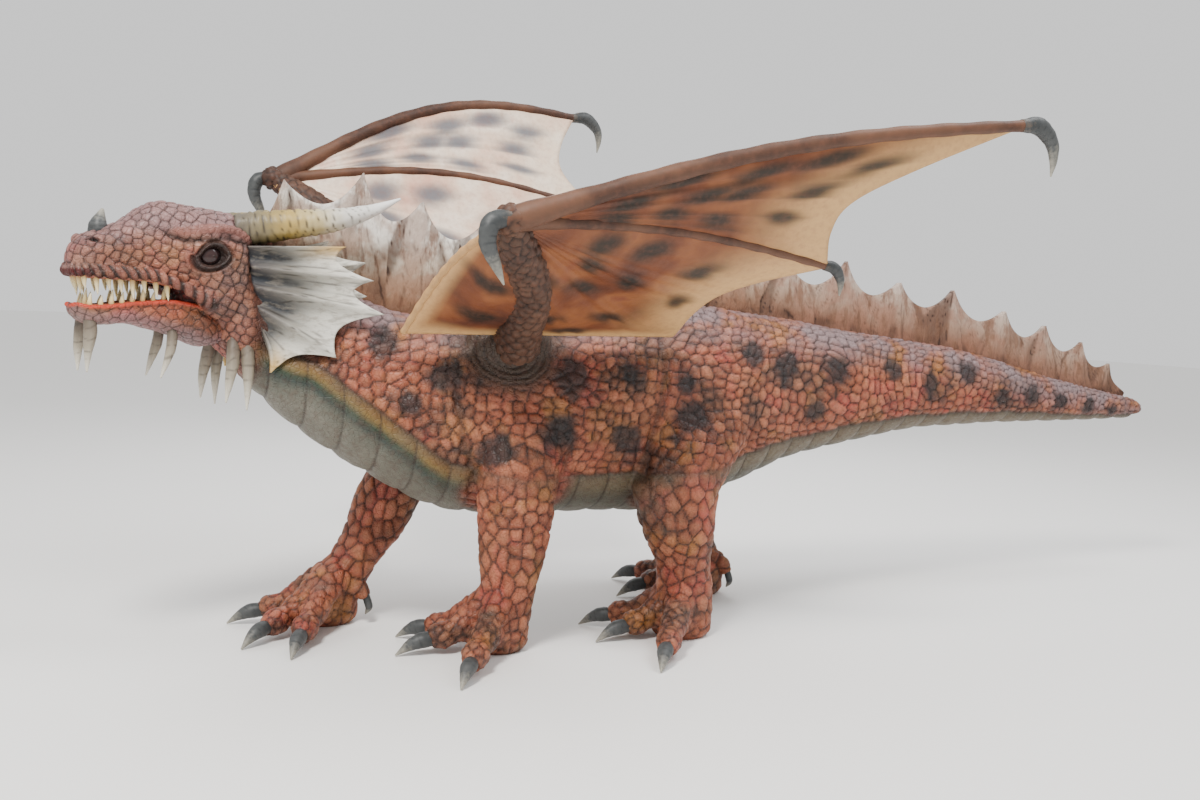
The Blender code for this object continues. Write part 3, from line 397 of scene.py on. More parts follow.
def loft(rings):
    """A closed shape through rings of equal count, each end closed to the ring's middle."""
    count, around = rings.shape[:2]
    verts = np.vstack([rings.reshape(-1, 3), rings[0].mean(0), rings[-1].mean(0)])
    j = np.arange(around)
    k = (j + 1) % around
    last = (count - 1) * around
    caps = np.vstack([np.stack([np.full(around, count * around), k, j], axis=1),
                      np.stack([np.full(around, count * around + 1), last + j, last + k], axis=1)])
    return outward(verts, [grid_faces(count, around, True), caps])


def joined(shapes):
    """Several shapes as one."""
    verts, faces, start = [], [], 0
    for part_verts, part_faces in shapes:
        verts.append(part_verts)
        faces += [block + start for block in part_faces]
        start += len(part_verts)
    return np.vstack(verts), faces


def tube(points, radii, around, flat=1.0, up=(0.0, 0.0, 1.0)):
    """A round or flattened limb: at each point of the line a ring of the radius there, square to the line."""
    points, radii = np.asarray(points, float), np.asarray(radii, float)
    tangent = np.gradient(points, axis=0)
    tangent /= np.linalg.norm(tangent, axis=1)[:, None]
    side = np.cross(tangent, np.asarray(up, float))
    side /= np.linalg.norm(side, axis=1)[:, None]
    rise = np.cross(side, tangent)
    angle = 2 * np.pi * np.arange(around) / around
    return loft(points[:, None] + radii[:, None, None] * (flat * np.cos(angle)[None, :, None] * side[:, None]
                                                          + np.sin(angle)[None, :, None] * rise[:, None]))


def ball(centre, radii, rows=16, around=24):
    """An ellipsoid: rings whose radius is the sine and height the cosine of the angle from the pole."""
    polar = np.pi * (np.arange(rows) + 0.5) / rows
    angle = 2 * np.pi * np.arange(around) / around
    unit = np.stack([np.sin(polar)[:, None] * np.cos(angle), np.sin(polar)[:, None] * np.sin(angle),
                     np.repeat(np.cos(polar)[:, None], around, 1)], axis=2)
    return loft(np.asarray(centre, float) + unit * np.asarray(radii, float))


def head_point(places):
    """Places given as forward, left, height in the head's frame, in the dragon's own frame."""
    places = np.asarray(places, float)
    cos, sin = math.cos(HEAD_TURN), math.sin(HEAD_TURN)
    forward, left, height = places[..., 0], places[..., 1], places[..., 2]
    return np.stack([HEAD_AT[0] - cos * forward + sin * left, HEAD_AT[1] - sin * forward - cos * left,
                     HEAD_AT[2] + height], axis=-1)


def head_frame(points):
    """The other way round: forward, left and height of points in the dragon's own frame."""
    cos, sin = math.cos(HEAD_TURN), math.sin(HEAD_TURN)
    x, y = points[:, 0] - HEAD_AT[0], points[:, 1] - HEAD_AT[1]
    return np.stack([-cos * x - sin * y, sin * x - cos * y, points[:, 2] - HEAD_AT[2]], axis=1)


def head_shape(shape):
    """A shape given in the head's frame, brought to its place."""
    return outward(head_point(shape[0]), shape[1])


def make_piece(name, shape, material, body, nodes=(), attributes=None, normals=None):
    """A finished piece: its mesh at its place, its material and what it rides on and stands for."""
    verts, faces = shape
    mesh = bpy.data.meshes.new(name)
    sizes = np.concatenate([np.full(len(block), block.shape[1]) for block in faces])
    loops = np.concatenate([block.ravel() for block in faces])
    mesh.vertices.add(len(verts))
    mesh.vertices.foreach_set("co", (verts + SHIFT).astype(np.float32).ravel())
    mesh.loops.add(len(loops))
    mesh.loops.foreach_set("vertex_index", loops.astype(np.int32))
    mesh.polygons.add(len(sizes))
    mesh.polygons.foreach_set("loop_start", np.r_[0, np.cumsum(sizes)[:-1]].astype(np.int32))
    mesh.update(calc_edges=True)
    mesh.validate()
    mesh.shade_smooth()
    for key, values in (attributes or {}).items():
        made = mesh.attributes.new(key, "FLOAT", "POINT")
        made.data.foreach_set("value", np.asarray(values, np.float32))
    if normals is not None:
        mesh.normals_split_custom_set_from_vertices(normals.astype(np.float32))
    mesh.materials.append(material)
    piece = bpy.data.objects.new(name, mesh)
    bpy.context.scene.collection.objects.link(piece)
    if body:
        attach(piece, body)
    if nodes:
        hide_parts(*nodes)
    return piece


def plug(tree, socket, value):
    """Puts a value or a node's output into the socket; a text names a float painted on the mesh's points."""
    if isinstance(value, str):
        value = add_node(tree, "ShaderNodeAttribute", {"attribute_name": value}).outputs["Fac"]
    if isinstance(value, bpy.types.NodeSocket):
        tree.links.new(value, socket)
    else:
        socket.default_value = value


def add_node(tree, kind, settings=None, links=None):
    """One node with its settings and what goes into its inputs."""
    made = tree.nodes.new(kind)
    for key, value in (settings or {}).items():
        setattr(made, key, value)
    for key, value in (links or {}).items():
        plug(tree, made.inputs[key], value)
    return made


def ramp(tree, factor, stops):
    """A colour ramp node through (place, hex colour) stops."""
    made = add_node(tree, "ShaderNodeValToRGB", links={"Fac": factor})
    elements = made.color_ramp.elements
    while len(elements) < len(stops):
        elements.new(0.5)
    for element, (place, colour) in zip(elements, stops):
        element.position = place
        element.color = linear(colour)
    return made.outputs["Color"]


def mix(tree, share, one, two):
    """Colour one turned to colour two by the share."""
    return add_node(tree, "ShaderNodeMix", {"data_type": "RGBA"}, {0: share, 6: one, 7: two}).outputs[2]


def noise(tree, millimetres, detail=3.0, stretch=(1.0, 1.0, 1.0), roughness=0.55):
    """Noise on the object's own coordinates with lumps of about that size."""
    place = add_node(tree, "ShaderNodeTexCoord").outputs["Object"]
    if stretch != (1.0, 1.0, 1.0):
        place = add_node(tree, "ShaderNodeMapping", links={"Vector": place, "Scale": stretch}).outputs["Vector"]
    return add_node(tree, "ShaderNodeTexNoise", links={
        "Vector": place, "Scale": 1000.0 / millimetres, "Detail": detail, "Roughness": roughness}).outputs["Fac"]


def maths(tree, operation, one, two, clamp=True):
    """Two values put together."""
    return add_node(tree, "ShaderNodeMath", {"operation": operation, "use_clamp": clamp},
                    {0: one, 1: two}).outputs["Value"]


def weighed(tree, one, first, two, second):
    """The first factor times one and the second factor times two, added."""
    one, two = (maths(tree, "MULTIPLY", value, factor, False) for value, factor in ((one, first), (two, second)))
    return maths(tree, "ADD", one, two, False)


def steps(tree, value, low, high):
    """0 below low, 1 above high, soft between."""
    return add_node(tree, "ShaderNodeMapRange", {"interpolation_type": "SMOOTHSTEP"},
                    {"Value": value, "From Min": low, "From Max": high}).outputs["Result"]


def layered(tree, colour, layers):
    """The colour with paints laid over it in turn: (where, how strong, hex colour or another colour's output)."""
    for share, amount, paint in layers:
        if amount != 1.0:
            share = maths(tree, "MULTIPLY", share, amount)
        colour = mix(tree, share, colour, linear(paint) if isinstance(paint, str) else paint)
    return colour


def new_material(name, roughness, specular):
    """An empty material and its node tree, with two constants set on its shader."""
    made = bpy.data.materials.new(name)
    made.use_nodes = True
    shader = made.node_tree.nodes["Principled BSDF"]
    shader.inputs["Roughness"].default_value = roughness
    shader.inputs["Specular IOR Level"].default_value = specular
    return made, made.node_tree


def finished(made, colour, height=None, strength=0.0, distance=0.0):
    """The material with its colour and, where there is a height, fine relief on its shader."""
    tree = made.node_tree
    shader = tree.nodes["Principled BSDF"]
    plug(tree, shader.inputs["Base Color"], colour)
    if height is not None:
        bump = add_node(tree, "ShaderNodeBump",
                        links={"Height": height, "Strength": strength, "Distance": distance})
        plug(tree, shader.inputs["Normal"], bump.outputs["Normal"])
    return made


def skin_material():
    """Painted moulded silicone: sprayed salmon and ochre over brown wash and painted shade in the scale grooves.
    """
    made, tree = new_material("painted_silicone_skin", 0.56, 0.42)
    broad, patch, fine = noise(tree, 360), noise(tree, 190), noise(tree, 28, 4.0)
    grime = noise(tree, 330, 5.0, (1.0, 1.0, 1.6), 0.65)
    spotted = weighed(tree, "spot", 1.0, noise(tree, 60, 4.0), 0.9)
    plates = ramp(tree, "band", ((0.0, "#4f3a22"), (0.16, "#6e5127"), (0.27, "#705a2c"), (0.42, "#2c3a28"),
                                 (0.54, "#2a3630"), (0.72, "#58594e"), (1.0, "#6c695d")))
    plates = layered(tree, plates, ((steps(tree, patch, 0.42, 0.62), 0.35, "#57564a"), ("rear", 1.0, "#5f5645")))
    colour = ramp(tree, broad, ((0.30, "#472819"), (0.43, "#854528"), (0.55, "#924b34"), (0.68, "#7e4e27")))
    colour = layered(tree, colour, (
        (steps(tree, patch, 0.54, 0.66), 0.80, "#9c4035"), (steps(tree, patch, 0.45, 0.32), 0.80, "#8a5a26"),
        (steps(tree, grime, 0.46, 0.64), 0.84, "#30241b"), (steps(tree, "tone", 0.50, 1.0), 0.26, "#c98560"),
        # lighter paint on the scales' raised middles: dry-brushed paint and painted highlight
        (steps(tree, "tone", 0.50, 0.0), 0.34, "#4a2a20"), ("top", 0.17, "#c98a66"),
        ("back", steps(tree, patch, 0.30, 0.60), "#836f70"), ("moss", 1.0, "#3c2f25"), ("snout", 1.0, "#86696a"),
        ("belly", 1.0, plates), (steps(tree, spotted, 0.74, 1.42), 0.90, "#0f1418"), ("pink", 0.55, "#7c4434"),
        # near-black painted shade in sockets, nostrils, hollows and carved recesses; brown wash with painted shade
        # in the grooves
        ("lip", 1.0, "#b53a22"), ("mouth", 1.0, "#4a120e"), ("dark", 1.0, "#160e0d"), ("groove_wash_and_shade", 0.84, "#1d0f0a"),
        (steps(tree, fine, 0.38, 0.75), 0.35, "#4a2a1f")))
    rough = maths(tree, "ADD", maths(tree, "MULTIPLY", fine, 0.35), 0.36)
    plug(tree, tree.nodes["Principled BSDF"].inputs["Roughness"], rough)
    creases = add_node(tree, "ShaderNodeTexVoronoi", {"feature": "DISTANCE_TO_EDGE"}, {
        "Vector": add_node(tree, "ShaderNodeTexCoord").outputs["Object"], "Scale": 1000.0 / 22})
    height = weighed(tree, fine, 0.8, steps(tree, creases.outputs["Distance"], 0.0, 0.12), 0.35)
    return finished(made, colour, height, 0.8, 0.007)


def crest_material():
    """Off-white painted rubber fin with a brown wash rubbed into its cracks and pale worn tips."""
    made, tree = new_material("washed_crest_rubber", 0.66, 0.35)
    streaks = noise(tree, 75, 5.0, (1.0, 1.0, 0.30), 0.62)
    colour = ramp(tree, "height", ((0.0, "#452b1e"), (0.22, "#775740"), (0.45, "#a28c76"), (0.72, "#c6b9a8"),
                                   (1.0, "#e8e3da")))
    colour = layered(tree, colour, (
        (steps(tree, noise(tree, 120), 0.42, 0.60), 0.60, "#8a6149"), ("tail", 0.45, "#8a5c4c"),
        ("crack", 0.95, "#341f16"), (steps(tree, streaks, 0.50, 0.62), 0.72, "#6f4d39")))
    return finished(made, colour, noise(tree, 34, 6.0, (1.0, 1.0, 0.30), 0.65), 1.0, 0.022)


def fin_material():
    """Off-white fin rubber, darkened blue-grey in the pockets between its rays and yellow at some tips."""
    made, tree = new_material("airbrushed_fin_rubber", 0.60, 0.38)
    worn = noise(tree, 26, 5.0, (0.3, 1.0, 1.0), 0.65)
    colour = ramp(tree, "level", ((0.0, "#453f40"), (0.26, "#77736c"), (0.52, "#aaa79c"), (1.0, "#d3d0c5")))
    colour = layered(tree, colour, (
        ("pocket", maths(tree, "ADD", noise(tree, 70, 4.0), 0.42), "#141b24"),
        (steps(tree, worn, 0.48, 0.64), 0.55, "#7a7368"), ("yellow", 0.8, "#d3a544"), ("crack", 0.88, "#332f2b")))
    return finished(made, colour, worn, 0.8, 0.008)


def horn_material():
    """Cast resin horn: grey root, olive and ochre bands rubbed with dark wash, ivory tip."""
    made, tree = new_material("painted_resin_horn", 0.48, 0.45)
    mottled = weighed(tree, "along", 1.0, noise(tree, 45), 0.16)
    colour = ramp(tree, mottled, ((0.06, "#56504b"), (0.24, "#75694a"), (0.40, "#a58b48"), (0.56, "#b4a57a"),
                                  (0.72, "#c9c6bd"), (1.0, "#e4e3e0")))
    return finished(made, layered(tree, colour, (("crack", 0.92, "#2c241d"),)), noise(tree, 9, 4.0), 0.35, 0.003)


def spike_material():
    """Cast resin spike: dark grey root running to a bone-white tip with lengthwise streaks."""
    made, tree = new_material("painted_resin_spike", 0.50, 0.42)
    streaks = noise(tree, 12, 3.0, (1.0, 1.0, 0.15))
    colour = ramp(tree, weighed(tree, "along", 1.0, streaks, 0.2),
                  ((0.05, "#4b4038"), (0.35, "#6a5f52"), (0.68, "#958c7b"), (1.0, "#cdc7b7")))
    return finished(made, layered(tree, colour, (("crack", 0.6, "#3c342f"),)), streaks, 0.3, 0.003)


def claw_material():
    """Cast resin claw: slate grey with paler worn streaks, half gloss."""
    made, tree = new_material("painted_resin_claw", 0.50, 0.40)
    streaks = noise(tree, 16)
    colour = ramp(tree, weighed(tree, "along", 0.75, streaks, 0.35),
                  ((0.06, "#6b5d50"), (0.26, "#323536"), (0.62, "#484a4a"), (0.98, "#a19c8e")))
    return finished(made, layered(tree, colour, (("crack", 0.6, "#1f2326"),)), streaks, 0.25, 0.003)


def tooth_material():
    """Cast resin tooth: cream, yellower and browner at the gum, glossy."""
    made, tree = new_material("cream_resin_tooth", 0.28, 0.55)
    colour = ramp(tree, "along", ((0.0, "#8a4a34"), (0.16, "#b98b52"), (0.45, "#dcc68d"), (1.0, "#efe3bd")))
    return finished(made, colour, noise(tree, 6, 2.0), 0.15, 0.002)


def eye_material():
    """Polished dark brown glass-like eye with a faintly lighter iris round a black pupil."""
    made, tree = new_material("polished_brown_eye", 0.16, 0.35)
    colour = ramp(tree, "ring", ((0.0, "#1f1415"), (0.22, "#33211f"), (0.60, "#2b1b1b"), (0.80, "#140d0d"),
                                 (1.0, "#100a0a")))
    return finished(made, layered(tree, colour, ((noise(tree, 10, 4.0), 0.4, "#2b1c1d"),)))


def wing_material():
    """Thin painted silicone: peach above with misty grey spots, brown-orange below with dark green spots, both
    darkened below as painted shade.
    """
    made, tree = new_material("painted_wing_silicone", 0.58, 0.36)
    cloud, fine = noise(tree, 260), noise(tree, 24, 4.0)
    # the underside's ramp is its paint darkened as painted shade
    below = ramp(tree, cloud, ((0.30, "#4a281c"), (0.46, "#6d3b20"), (0.60, "#8a5430"), (0.74, "#6f392b")))
    above = ramp(tree, cloud, ((0.30, "#d6a48c"), (0.46, "#dfc0a8"), (0.60, "#ead7c4"), (0.74, "#d99d88")))
    below = layered(tree, below, (("edge", 1.0, "#d6ab72"),))
    above = layered(tree, above, (("edge", 0.5, "#e7d6bd"),))
    # the bones' dark brown paint, darkened further as painted shade
    arm = mix(tree, steps(tree, cloud, 0.35, 0.65), linear("#38251c"), linear("#5c4030"))
    colour = layered(tree, mix(tree, "under", above, below), (
        # darker spots below, as painted shade
        ("spot", 1.0, mix(tree, "under", linear("#565a62"), linear("#171a15"))), ("bone_paint_and_shade", 1.0, arm),
        ("groove_wash_and_shade", 0.85, "#170e0a"), (steps(tree, fine, 0.40, 0.75), 0.22, "#7c4c39")))
    return finished(made, colour, fine, 0.35, 0.005)


def toe_lines(leg, tip):
    """Middle line of a toe to the claw's root, and the claw's line to its tip."""
    sole = np.array([*leg["line"][-1][:2], 0.0])
    reach = np.array([*tip, 0.0]) - sole
    length = np.linalg.norm(reach)
    way = reach / length
    flesh = length - CLAW_LENGTH
    rise = np.array((0.0, 0.0, 1.0))
    toe = [sole + way * flesh * share + rise * height
           for share, height in ((0.15, 0.085), (0.45, 0.110), (0.70, 0.085), (0.88, 0.072), (1.02, 0.058))]
    claw = [sole + way * (flesh + CLAW_LENGTH * share) + rise * height
            for share, height in ((-0.12, 0.066), (0.30, 0.060), (0.62, 0.042), (0.985, 0.006))]
    return np.array(toe), np.array(claw)


def dew_lines(leg):
    """The same for the small toe at the back of the foot."""
    ankle = np.array([*leg["line"][-2][:2], 0.17])
    reach = np.array([*leg["dew"], 0.17]) - ankle
    way = reach / np.linalg.norm(reach)
    toe = np.array([ankle + way * out + (0, 0, up)
                    for out, up in ((0.09, 0.02), (0.14, -0.01), (0.17, -0.045))])
    claw = np.array([toe[2] + way * out + (0, 0, up)
                     for out, up in ((-0.005, 0.012), (0.012, -0.043), (-0.004, -0.078))])
    return toe, claw


def trunk_rings(around, count):
    """Rings of neck, chest, belly and tail, square to the spine's line, with squarish power-law sides."""
    rows = smooth_rows(TRUNK, count)
    centre = np.stack([rows[:, 0], np.zeros(len(rows)), rows[:, 1]], axis=1)
    tangent = np.gradient(centre, axis=0)
    tangent /= np.linalg.norm(tangent, axis=1)[:, None]
    rise = np.stack([-tangent[:, 2], np.zeros(len(rows)), tangent[:, 0]], axis=1)
    angle = 2 * np.pi * np.arange(around) / around
    across = np.sign(np.cos(angle)) * np.abs(np.cos(angle)) ** TRUNK_POWER
    upright = np.sign(np.sin(angle)) * np.abs(np.sin(angle)) ** TRUNK_POWER
    height = np.where(upright[None] > 0, rows[:, 2:3], rows[:, 3:4]) * upright[None]
    rings = centre[:, None] + height[..., None] * rise[:, None]
    rings[..., 1] += rows[:, 4:5] * across[None]
    return rings


def box_rings(stations, around, top_power, bottom_power):
    """Head rings from (forward, top, bottom, half width), rounder above and flatter below."""
    rows = np.asarray(stations, float)
    angle = 2 * np.pi * np.arange(around) / around
    cos, sin = np.cos(angle), np.sin(angle)
    power = np.where(sin > 0, top_power, bottom_power)
    across = np.sign(cos) * np.abs(cos) ** power
    upright = np.sign(sin) * np.abs(sin) ** power
    rings = np.zeros((len(rows), around, 3))
    rings[..., 0] = rows[:, 0:1]
    rings[..., 1] = rows[:, 3:4] * across[None]
    rings[..., 2] = (rows[:, 1:2] + rows[:, 2:3]) / 2 + (rows[:, 1:2] - rows[:, 2:3]) / 2 * upright[None]
    return rings


def lip_line(side):
    """The fold over the upper lip, from the snout's front back to the mouth's corner."""
    line = ((0.655, 0.030, 0.045), (0.625, 0.070, 0.040), (0.56, 0.095, 0.038), (0.46, 0.104, 0.036),
            (0.38, 0.116, 0.032), (0.30, 0.134, 0.008), (0.225, 0.152, -0.035), (0.17, 0.158, -0.075))
    return smooth_rows(line, 8) * (1, side, 1)


def brow_line(side):
    """The ridge over the eye, from the snout up and round behind it."""
    line = ((0.40, 0.070, 0.262), (0.34, 0.098, 0.215), (0.26, 0.128, 0.205), (0.17, 0.150, 0.222),
            (0.08, 0.160, 0.225), (0.015, 0.160, 0.190), (-0.02, 0.150, 0.135))
    return smooth_rows(line, 8) * (1, side, 1)


def skull_shapes():
    """Skull, brows, cheeks, nostril rims, lip folds and the back wall of the mouth."""
    shapes = [loft(box_rings(smooth_rows(SKULL, 6), 64, 0.75, 0.70))]
    for side in (1, -1):
        path = brow_line(side)
        shapes.append(tube(path, 0.014 * np.sin(np.linspace(0.25, 2.8, len(path))), 16))
        shapes.append(ball((0.10, side * 0.120, -0.03), (0.12, 0.055, 0.10)))
        shapes.append(ball((0.585, side * 0.055, 0.160), (0.042, 0.028, 0.024)))
        path = lip_line(side)
        shapes.append(tube(path, np.full(len(path), 0.018), 16))
    shapes.append(loft(box_rings(((0.10, 0.06, -0.13, 0.10), (0.24, 0.04, -0.10, 0.10), (0.27, 0.03, -0.07, 0.07)),
                                 24, 0.6, 0.6)))
    return [head_shape(one) for one in shapes]


def leg_shapes(leg):
    """One leg as a limb with a broad sole, its toes with knuckles and its small back toe."""
    rows = smooth_rows(leg["line"], 6)
    angle = 2 * np.pi * np.arange(40) / 40
    rings = np.zeros((len(rows), 40, 3))
    rings[..., 0] = rows[:, 0:1] + rows[:, 3:4] * np.cos(angle)
    rings[..., 1] = rows[:, 1:2] + rows[:, 4:5] * np.sin(angle)
    rings[..., 2] = rows[:, 2:3]
    foot = rows[-1]
    shapes = [loft(rings), ball((foot[0], foot[1], 0.05), (foot[3] * 1.08, foot[4] * 1.08, 0.085))]
    for tip in leg["toes"]:
        toe, _ = toe_lines(leg, tip)
        ankle = np.array(leg["line"][-3][:3])
        path = [ankle - (0, 0, 0.03), ankle * 0.45 + toe[1] * 0.55 + (0, 0, 0.02), toe[2] + (0, 0, 0.005)]
        shapes.append(tube(smooth_rows(path, 5), np.linspace(0.085, 0.046, 11), 20))
        radii = TOE_RADIUS * np.array([1.25, 1.12, 0.92, 0.98, 0.66])
        rows = smooth_rows(np.column_stack([toe, radii]), 5)
        knuckles = 1 + 0.07 * np.cos(np.linspace(0, 3.0 * 2 * np.pi, len(rows)))
        shapes.append(tube(rows[:, :3], rows[:, 3] * knuckles, 24, 0.95))
        shapes.append(ball(toe[3] + (0, 0, 0.012), (0.058, 0.055, 0.046)))
    toe, _ = dew_lines(leg)
    shapes.append(tube(toe, (0.050, 0.042, 0.026), 20))
    return shapes


def remeshed(shape, voxel):
    """Overlapping closed shapes grown together as one skin of even quads: points, quads and edges."""
    temp = make_piece("skin_form", shape, None, None)
    temp.data.materials.clear()
    tool = temp.modifiers.new("skin", "REMESH")
    tool.mode = "VOXEL"
    tool.voxel_size = voxel
    mesh = bpy.data.meshes.new_from_object(temp.evaluated_get(bpy.context.evaluated_depsgraph_get()))
    verts = np.empty(3 * len(mesh.vertices), np.float32)
    mesh.vertices.foreach_get("co", verts)
    quads = np.empty(len(mesh.loops), np.int32)
    mesh.loops.foreach_get("vertex_index", quads)
    edges = np.empty(2 * len(mesh.edges), np.int32)
    mesh.edges.foreach_get("vertices", edges)
    bpy.data.objects.remove(temp)
    bpy.data.meshes.remove(mesh)
    return (verts.reshape(-1, 3).astype(float) - SHIFT, quads.reshape(-1, 4).astype(np.int64),
            edges.reshape(-1, 2).astype(np.int64))


def softened(verts, edges, times, share):
    """Each point moved that share of the way to the mean of its neighbours, so many times."""
    ends = np.concatenate([edges[:, 0], edges[:, 1]])
    others = np.concatenate([edges[:, 1], edges[:, 0]])
    count = np.maximum(np.bincount(ends, minlength=len(verts)), 1)
    for _ in range(times):
        total = np.stack([np.bincount(ends, verts[others, k], len(verts)) for k in range(3)], axis=1)
        verts = verts + (total / count[:, None] - verts) * share[:, None]
    return verts


def point_normals(verts, quads):
    """Unit normals at the points: the sum of the quads' diagonals' cross products."""
    cross = np.cross(verts[quads[:, 2]] - verts[quads[:, 0]], verts[quads[:, 3]] - verts[quads[:, 1]])
    total = np.zeros_like(verts)
    for corner in range(4):
        for k in range(3):
            total[:, k] += np.bincount(quads[:, corner], cross[:, k], len(verts))
    return total / np.maximum(np.linalg.norm(total, axis=1), 1e-12)[:, None]


def quad_sides(quads):
    """The two ends of each side of each quad, the lower number first."""
    return np.sort(np.stack([quads, np.roll(quads, -1, axis=1)], axis=2).reshape(-1, 2), axis=1)


def refined(verts, quads, chosen):
    """The chosen quads cut in four.

    Gives the points, the quads left as they were, the small quads, the middles on the border of these and
    the two ends of the side that each of those middles halves.
    """
    block = quads[chosen]
    ends = quad_sides(block)
    ends = ends[:, 0] * len(verts) + ends[:, 1]
    pairs, index, count = np.unique(ends, return_inverse=True, return_counts=True)
    pairs = np.stack([pairs // len(verts), pairs % len(verts)], axis=1)
    middle = len(verts) + index.reshape(-1, 4)
    centre = np.repeat(len(verts) + len(pairs) + np.arange(len(block))[:, None], 4, axis=1)
    small = np.stack([block, middle, centre, np.roll(middle, 1, axis=1)], axis=2).reshape(-1, 4)
    verts = np.vstack([verts, verts[pairs].mean(1), verts[block].mean(1)])
    hanging = np.flatnonzero(count == 1)
    return verts, quads[~chosen], small, len(verts) - len(block) - len(pairs) + hanging, pairs[hanging]


def line_distance(points, line):
    """Distance from each point to a line of points, and how far along it the nearest stretch is, 0 to 1."""
    best = np.full(len(points), 9.0)
    along = np.zeros(len(points))
    for k in range(len(line) - 1):
        way = line[k + 1] - line[k]
        share = np.clip((points - line[k]) @ way / (way @ way), 0, 1)
        gap = np.linalg.norm(points - line[k] - share[:, None] * way, axis=1)
        along = np.where(gap < best, (k + share) / (len(line) - 1), along)
        best = np.minimum(best, gap)
    return best, along


def head_distance(local, in_head, line):
    """line_distance for the points of the head alone; the others are far."""
    use = in_head > 0
    gap, along = np.full(len(local), 9.0), np.zeros(len(local))
    gap[use], along[use] = line_distance(local[use], line)
    return gap, along


def skin_form():
    """The skin before its relief: trunk, skull, legs and wing roots grown together and softened.

    Gives the points, the body's quads, the smaller quads of head and neck, the middles on the border between
    these and the two points each of those lies between.
    """
    shapes = [loft(trunk_rings(72, 8))] + skull_shapes()
    for leg in LEGS.values():
        shapes += leg_shapes(leg)
    shapes += [ball((-0.60, y, 1.29), (0.19, 0.11, 0.15)) for y in (-0.27, 0.27)]
    verts, quads, edges = remeshed(joined(shapes), SKIN_VOXEL)
    in_head = smooth(-0.06, 0.04, head_frame(verts)[:, 0])
    verts = softened(verts, edges, HEAD_SOFTEN, np.full(len(verts), 0.5))
    verts = softened(verts, edges, BODY_SOFTEN - HEAD_SOFTEN, 0.5 * (1 - in_head))
    in_front = (verts[quads, 0].mean(1) < HEAD_CUT) & (verts[quads, 2].mean(1) > HEAD_FLOOR)
    verts, coarse, small, hanging, held_by = refined(verts, quads, in_front)
    fine = smooth(HEAD_CUT - 0.01, HEAD_CUT - 0.05, verts[:, 0]) * (verts[:, 2] > HEAD_FLOOR)
    verts = softened(verts, np.unique(quad_sides(small), axis=0), 2, 0.5 * fine)
    return verts, coarse, small, hanging, held_by


def head_features(local, in_head, eye_ring, normals, relief, groove_wash_and_shade):
    """Lip folds, brows, nostrils, eye sockets, the mouth and the carved cheek's back, set into the relief.

    Gives the relief and grooves with these, the painted shade there, and how pink, mouth-red and violet each point
    is.
    """
    forward, side_place, height = local.T
    side_out = np.abs(side_place)
    dark = np.zeros(len(local))
    pink = np.zeros(len(local))
    for side in (1, -1):
        gap, share = head_distance(local, in_head, lip_line(side))
        near = smooth(0.034, 0.022, gap) * in_head
        ridge = np.abs((share * 16 + height * 14) % 1 - 0.5) * 2
        relief = over(relief, near, 0.011 * (0.7 - ridge ** 2))
        # The lip fold's grooves: brown wash and painted shade
        groove_wash_and_shade = over(groove_wash_and_shade, near, smooth(0.60, 0.95, ridge))
        # Painted shade further along the lip fold
        dark = np.maximum(dark, near * smooth(0.08, 0.25, share) * (0.25 + 0.55 * smooth(0.35, 0.80, ridge)))
        gap, share = head_distance(local, in_head, brow_line(side))
        near = smooth(0.025, 0.014, gap + 0.02 * smooth(0.30, 0.05, share)) * in_head
        ridge = np.abs((share * 19) % 1 - 0.5) * 2
        relief = over(relief, near, 0.0035 * (0.7 - ridge ** 2) + 0.001)
        # The brow's grooves: brown wash and painted shade
        groove_wash_and_shade = over(groove_wash_and_shade, near, 0.35 * smooth(0.80, 0.99, ridge))
        pink = np.maximum(pink, near)
        # Painted shade in the hollow under the brow
        under = np.interp(forward, (-0.02, 0.10, 0.26, 0.38), (0.150, 0.190, 0.170, 0.205))
        hollow = np.exp(-((height - under) / 0.012) ** 2) * smooth(-0.02, 0.06, forward)
        hollow *= smooth(0.40, 0.30, forward) * in_head * smooth(0.05, 0.08, side_place * side)
        relief -= 0.010 * hollow
        dark = np.maximum(dark, 0.8 * hollow)
        # The nostril's pit, with painted shade in it
        nostril = np.hypot((forward - 0.588) / 0.026, (height - 0.158) / 0.010)
        pit = smooth(1.0, 0.5, nostril + 60 * np.maximum(0.04 - side_place * side, 0))
        relief -= 0.012 * pit
        dark = np.maximum(dark, pit)
    for centre, width, lift in ((1.22, 0.13, 0.007), (1.52, 0.11, -0.010), (1.80, 0.12, 0.004),
                                (0.62, 0.36, -0.030)):
        ring = np.exp(-((eye_ring - centre) / width) ** 2)
        relief += in_head * lift * ring * (1 if centre > 1 else eye_ring < 1)
    # Painted shade in the eye socket and a faint ring round it
    dark = np.maximum(dark, in_head * (0.95 * smooth(1.95, 1.35, eye_ring)
                                       + 0.30 * np.exp(-((eye_ring - 2.0) / 0.15) ** 2)))
    roof = in_head * smooth(0.24, 0.27, forward) * smooth(0.034, 0.024, height)
    roof *= smooth(0.0, 0.03, 0.128 - side_out)
    wall = in_head * smooth(0.10, 0.13, forward) * smooth(0.106, 0.100, side_out)
    wall *= smooth(0.055, 0.045, height)
    mouth = np.maximum(roof * smooth(0.35, 0.15, normals[:, 2] + 0.45), wall)

    carve = smooth(0.035, -0.03, forward) * smooth(-0.34, -0.20, forward) * smooth(0.06, 0.10, side_out)
    carve *= smooth(-0.34, -0.24, height) * smooth(0.22, 0.14, height)
    relief = relief * (1 - 0.7 * carve) - 0.042 * carve
    # Painted shade in the carved back of the cheek
    dark = np.maximum(dark, 0.75 * carve)
    snout = 0.20 + 0.65 * smooth(0.12, 0.25, height) + 0.25 * smooth(0.55, 0.65, forward)
    snout = np.clip(in_head * snout, 0, 0.85)
    return relief, groove_wash_and_shade, dark, pink, mouth, snout


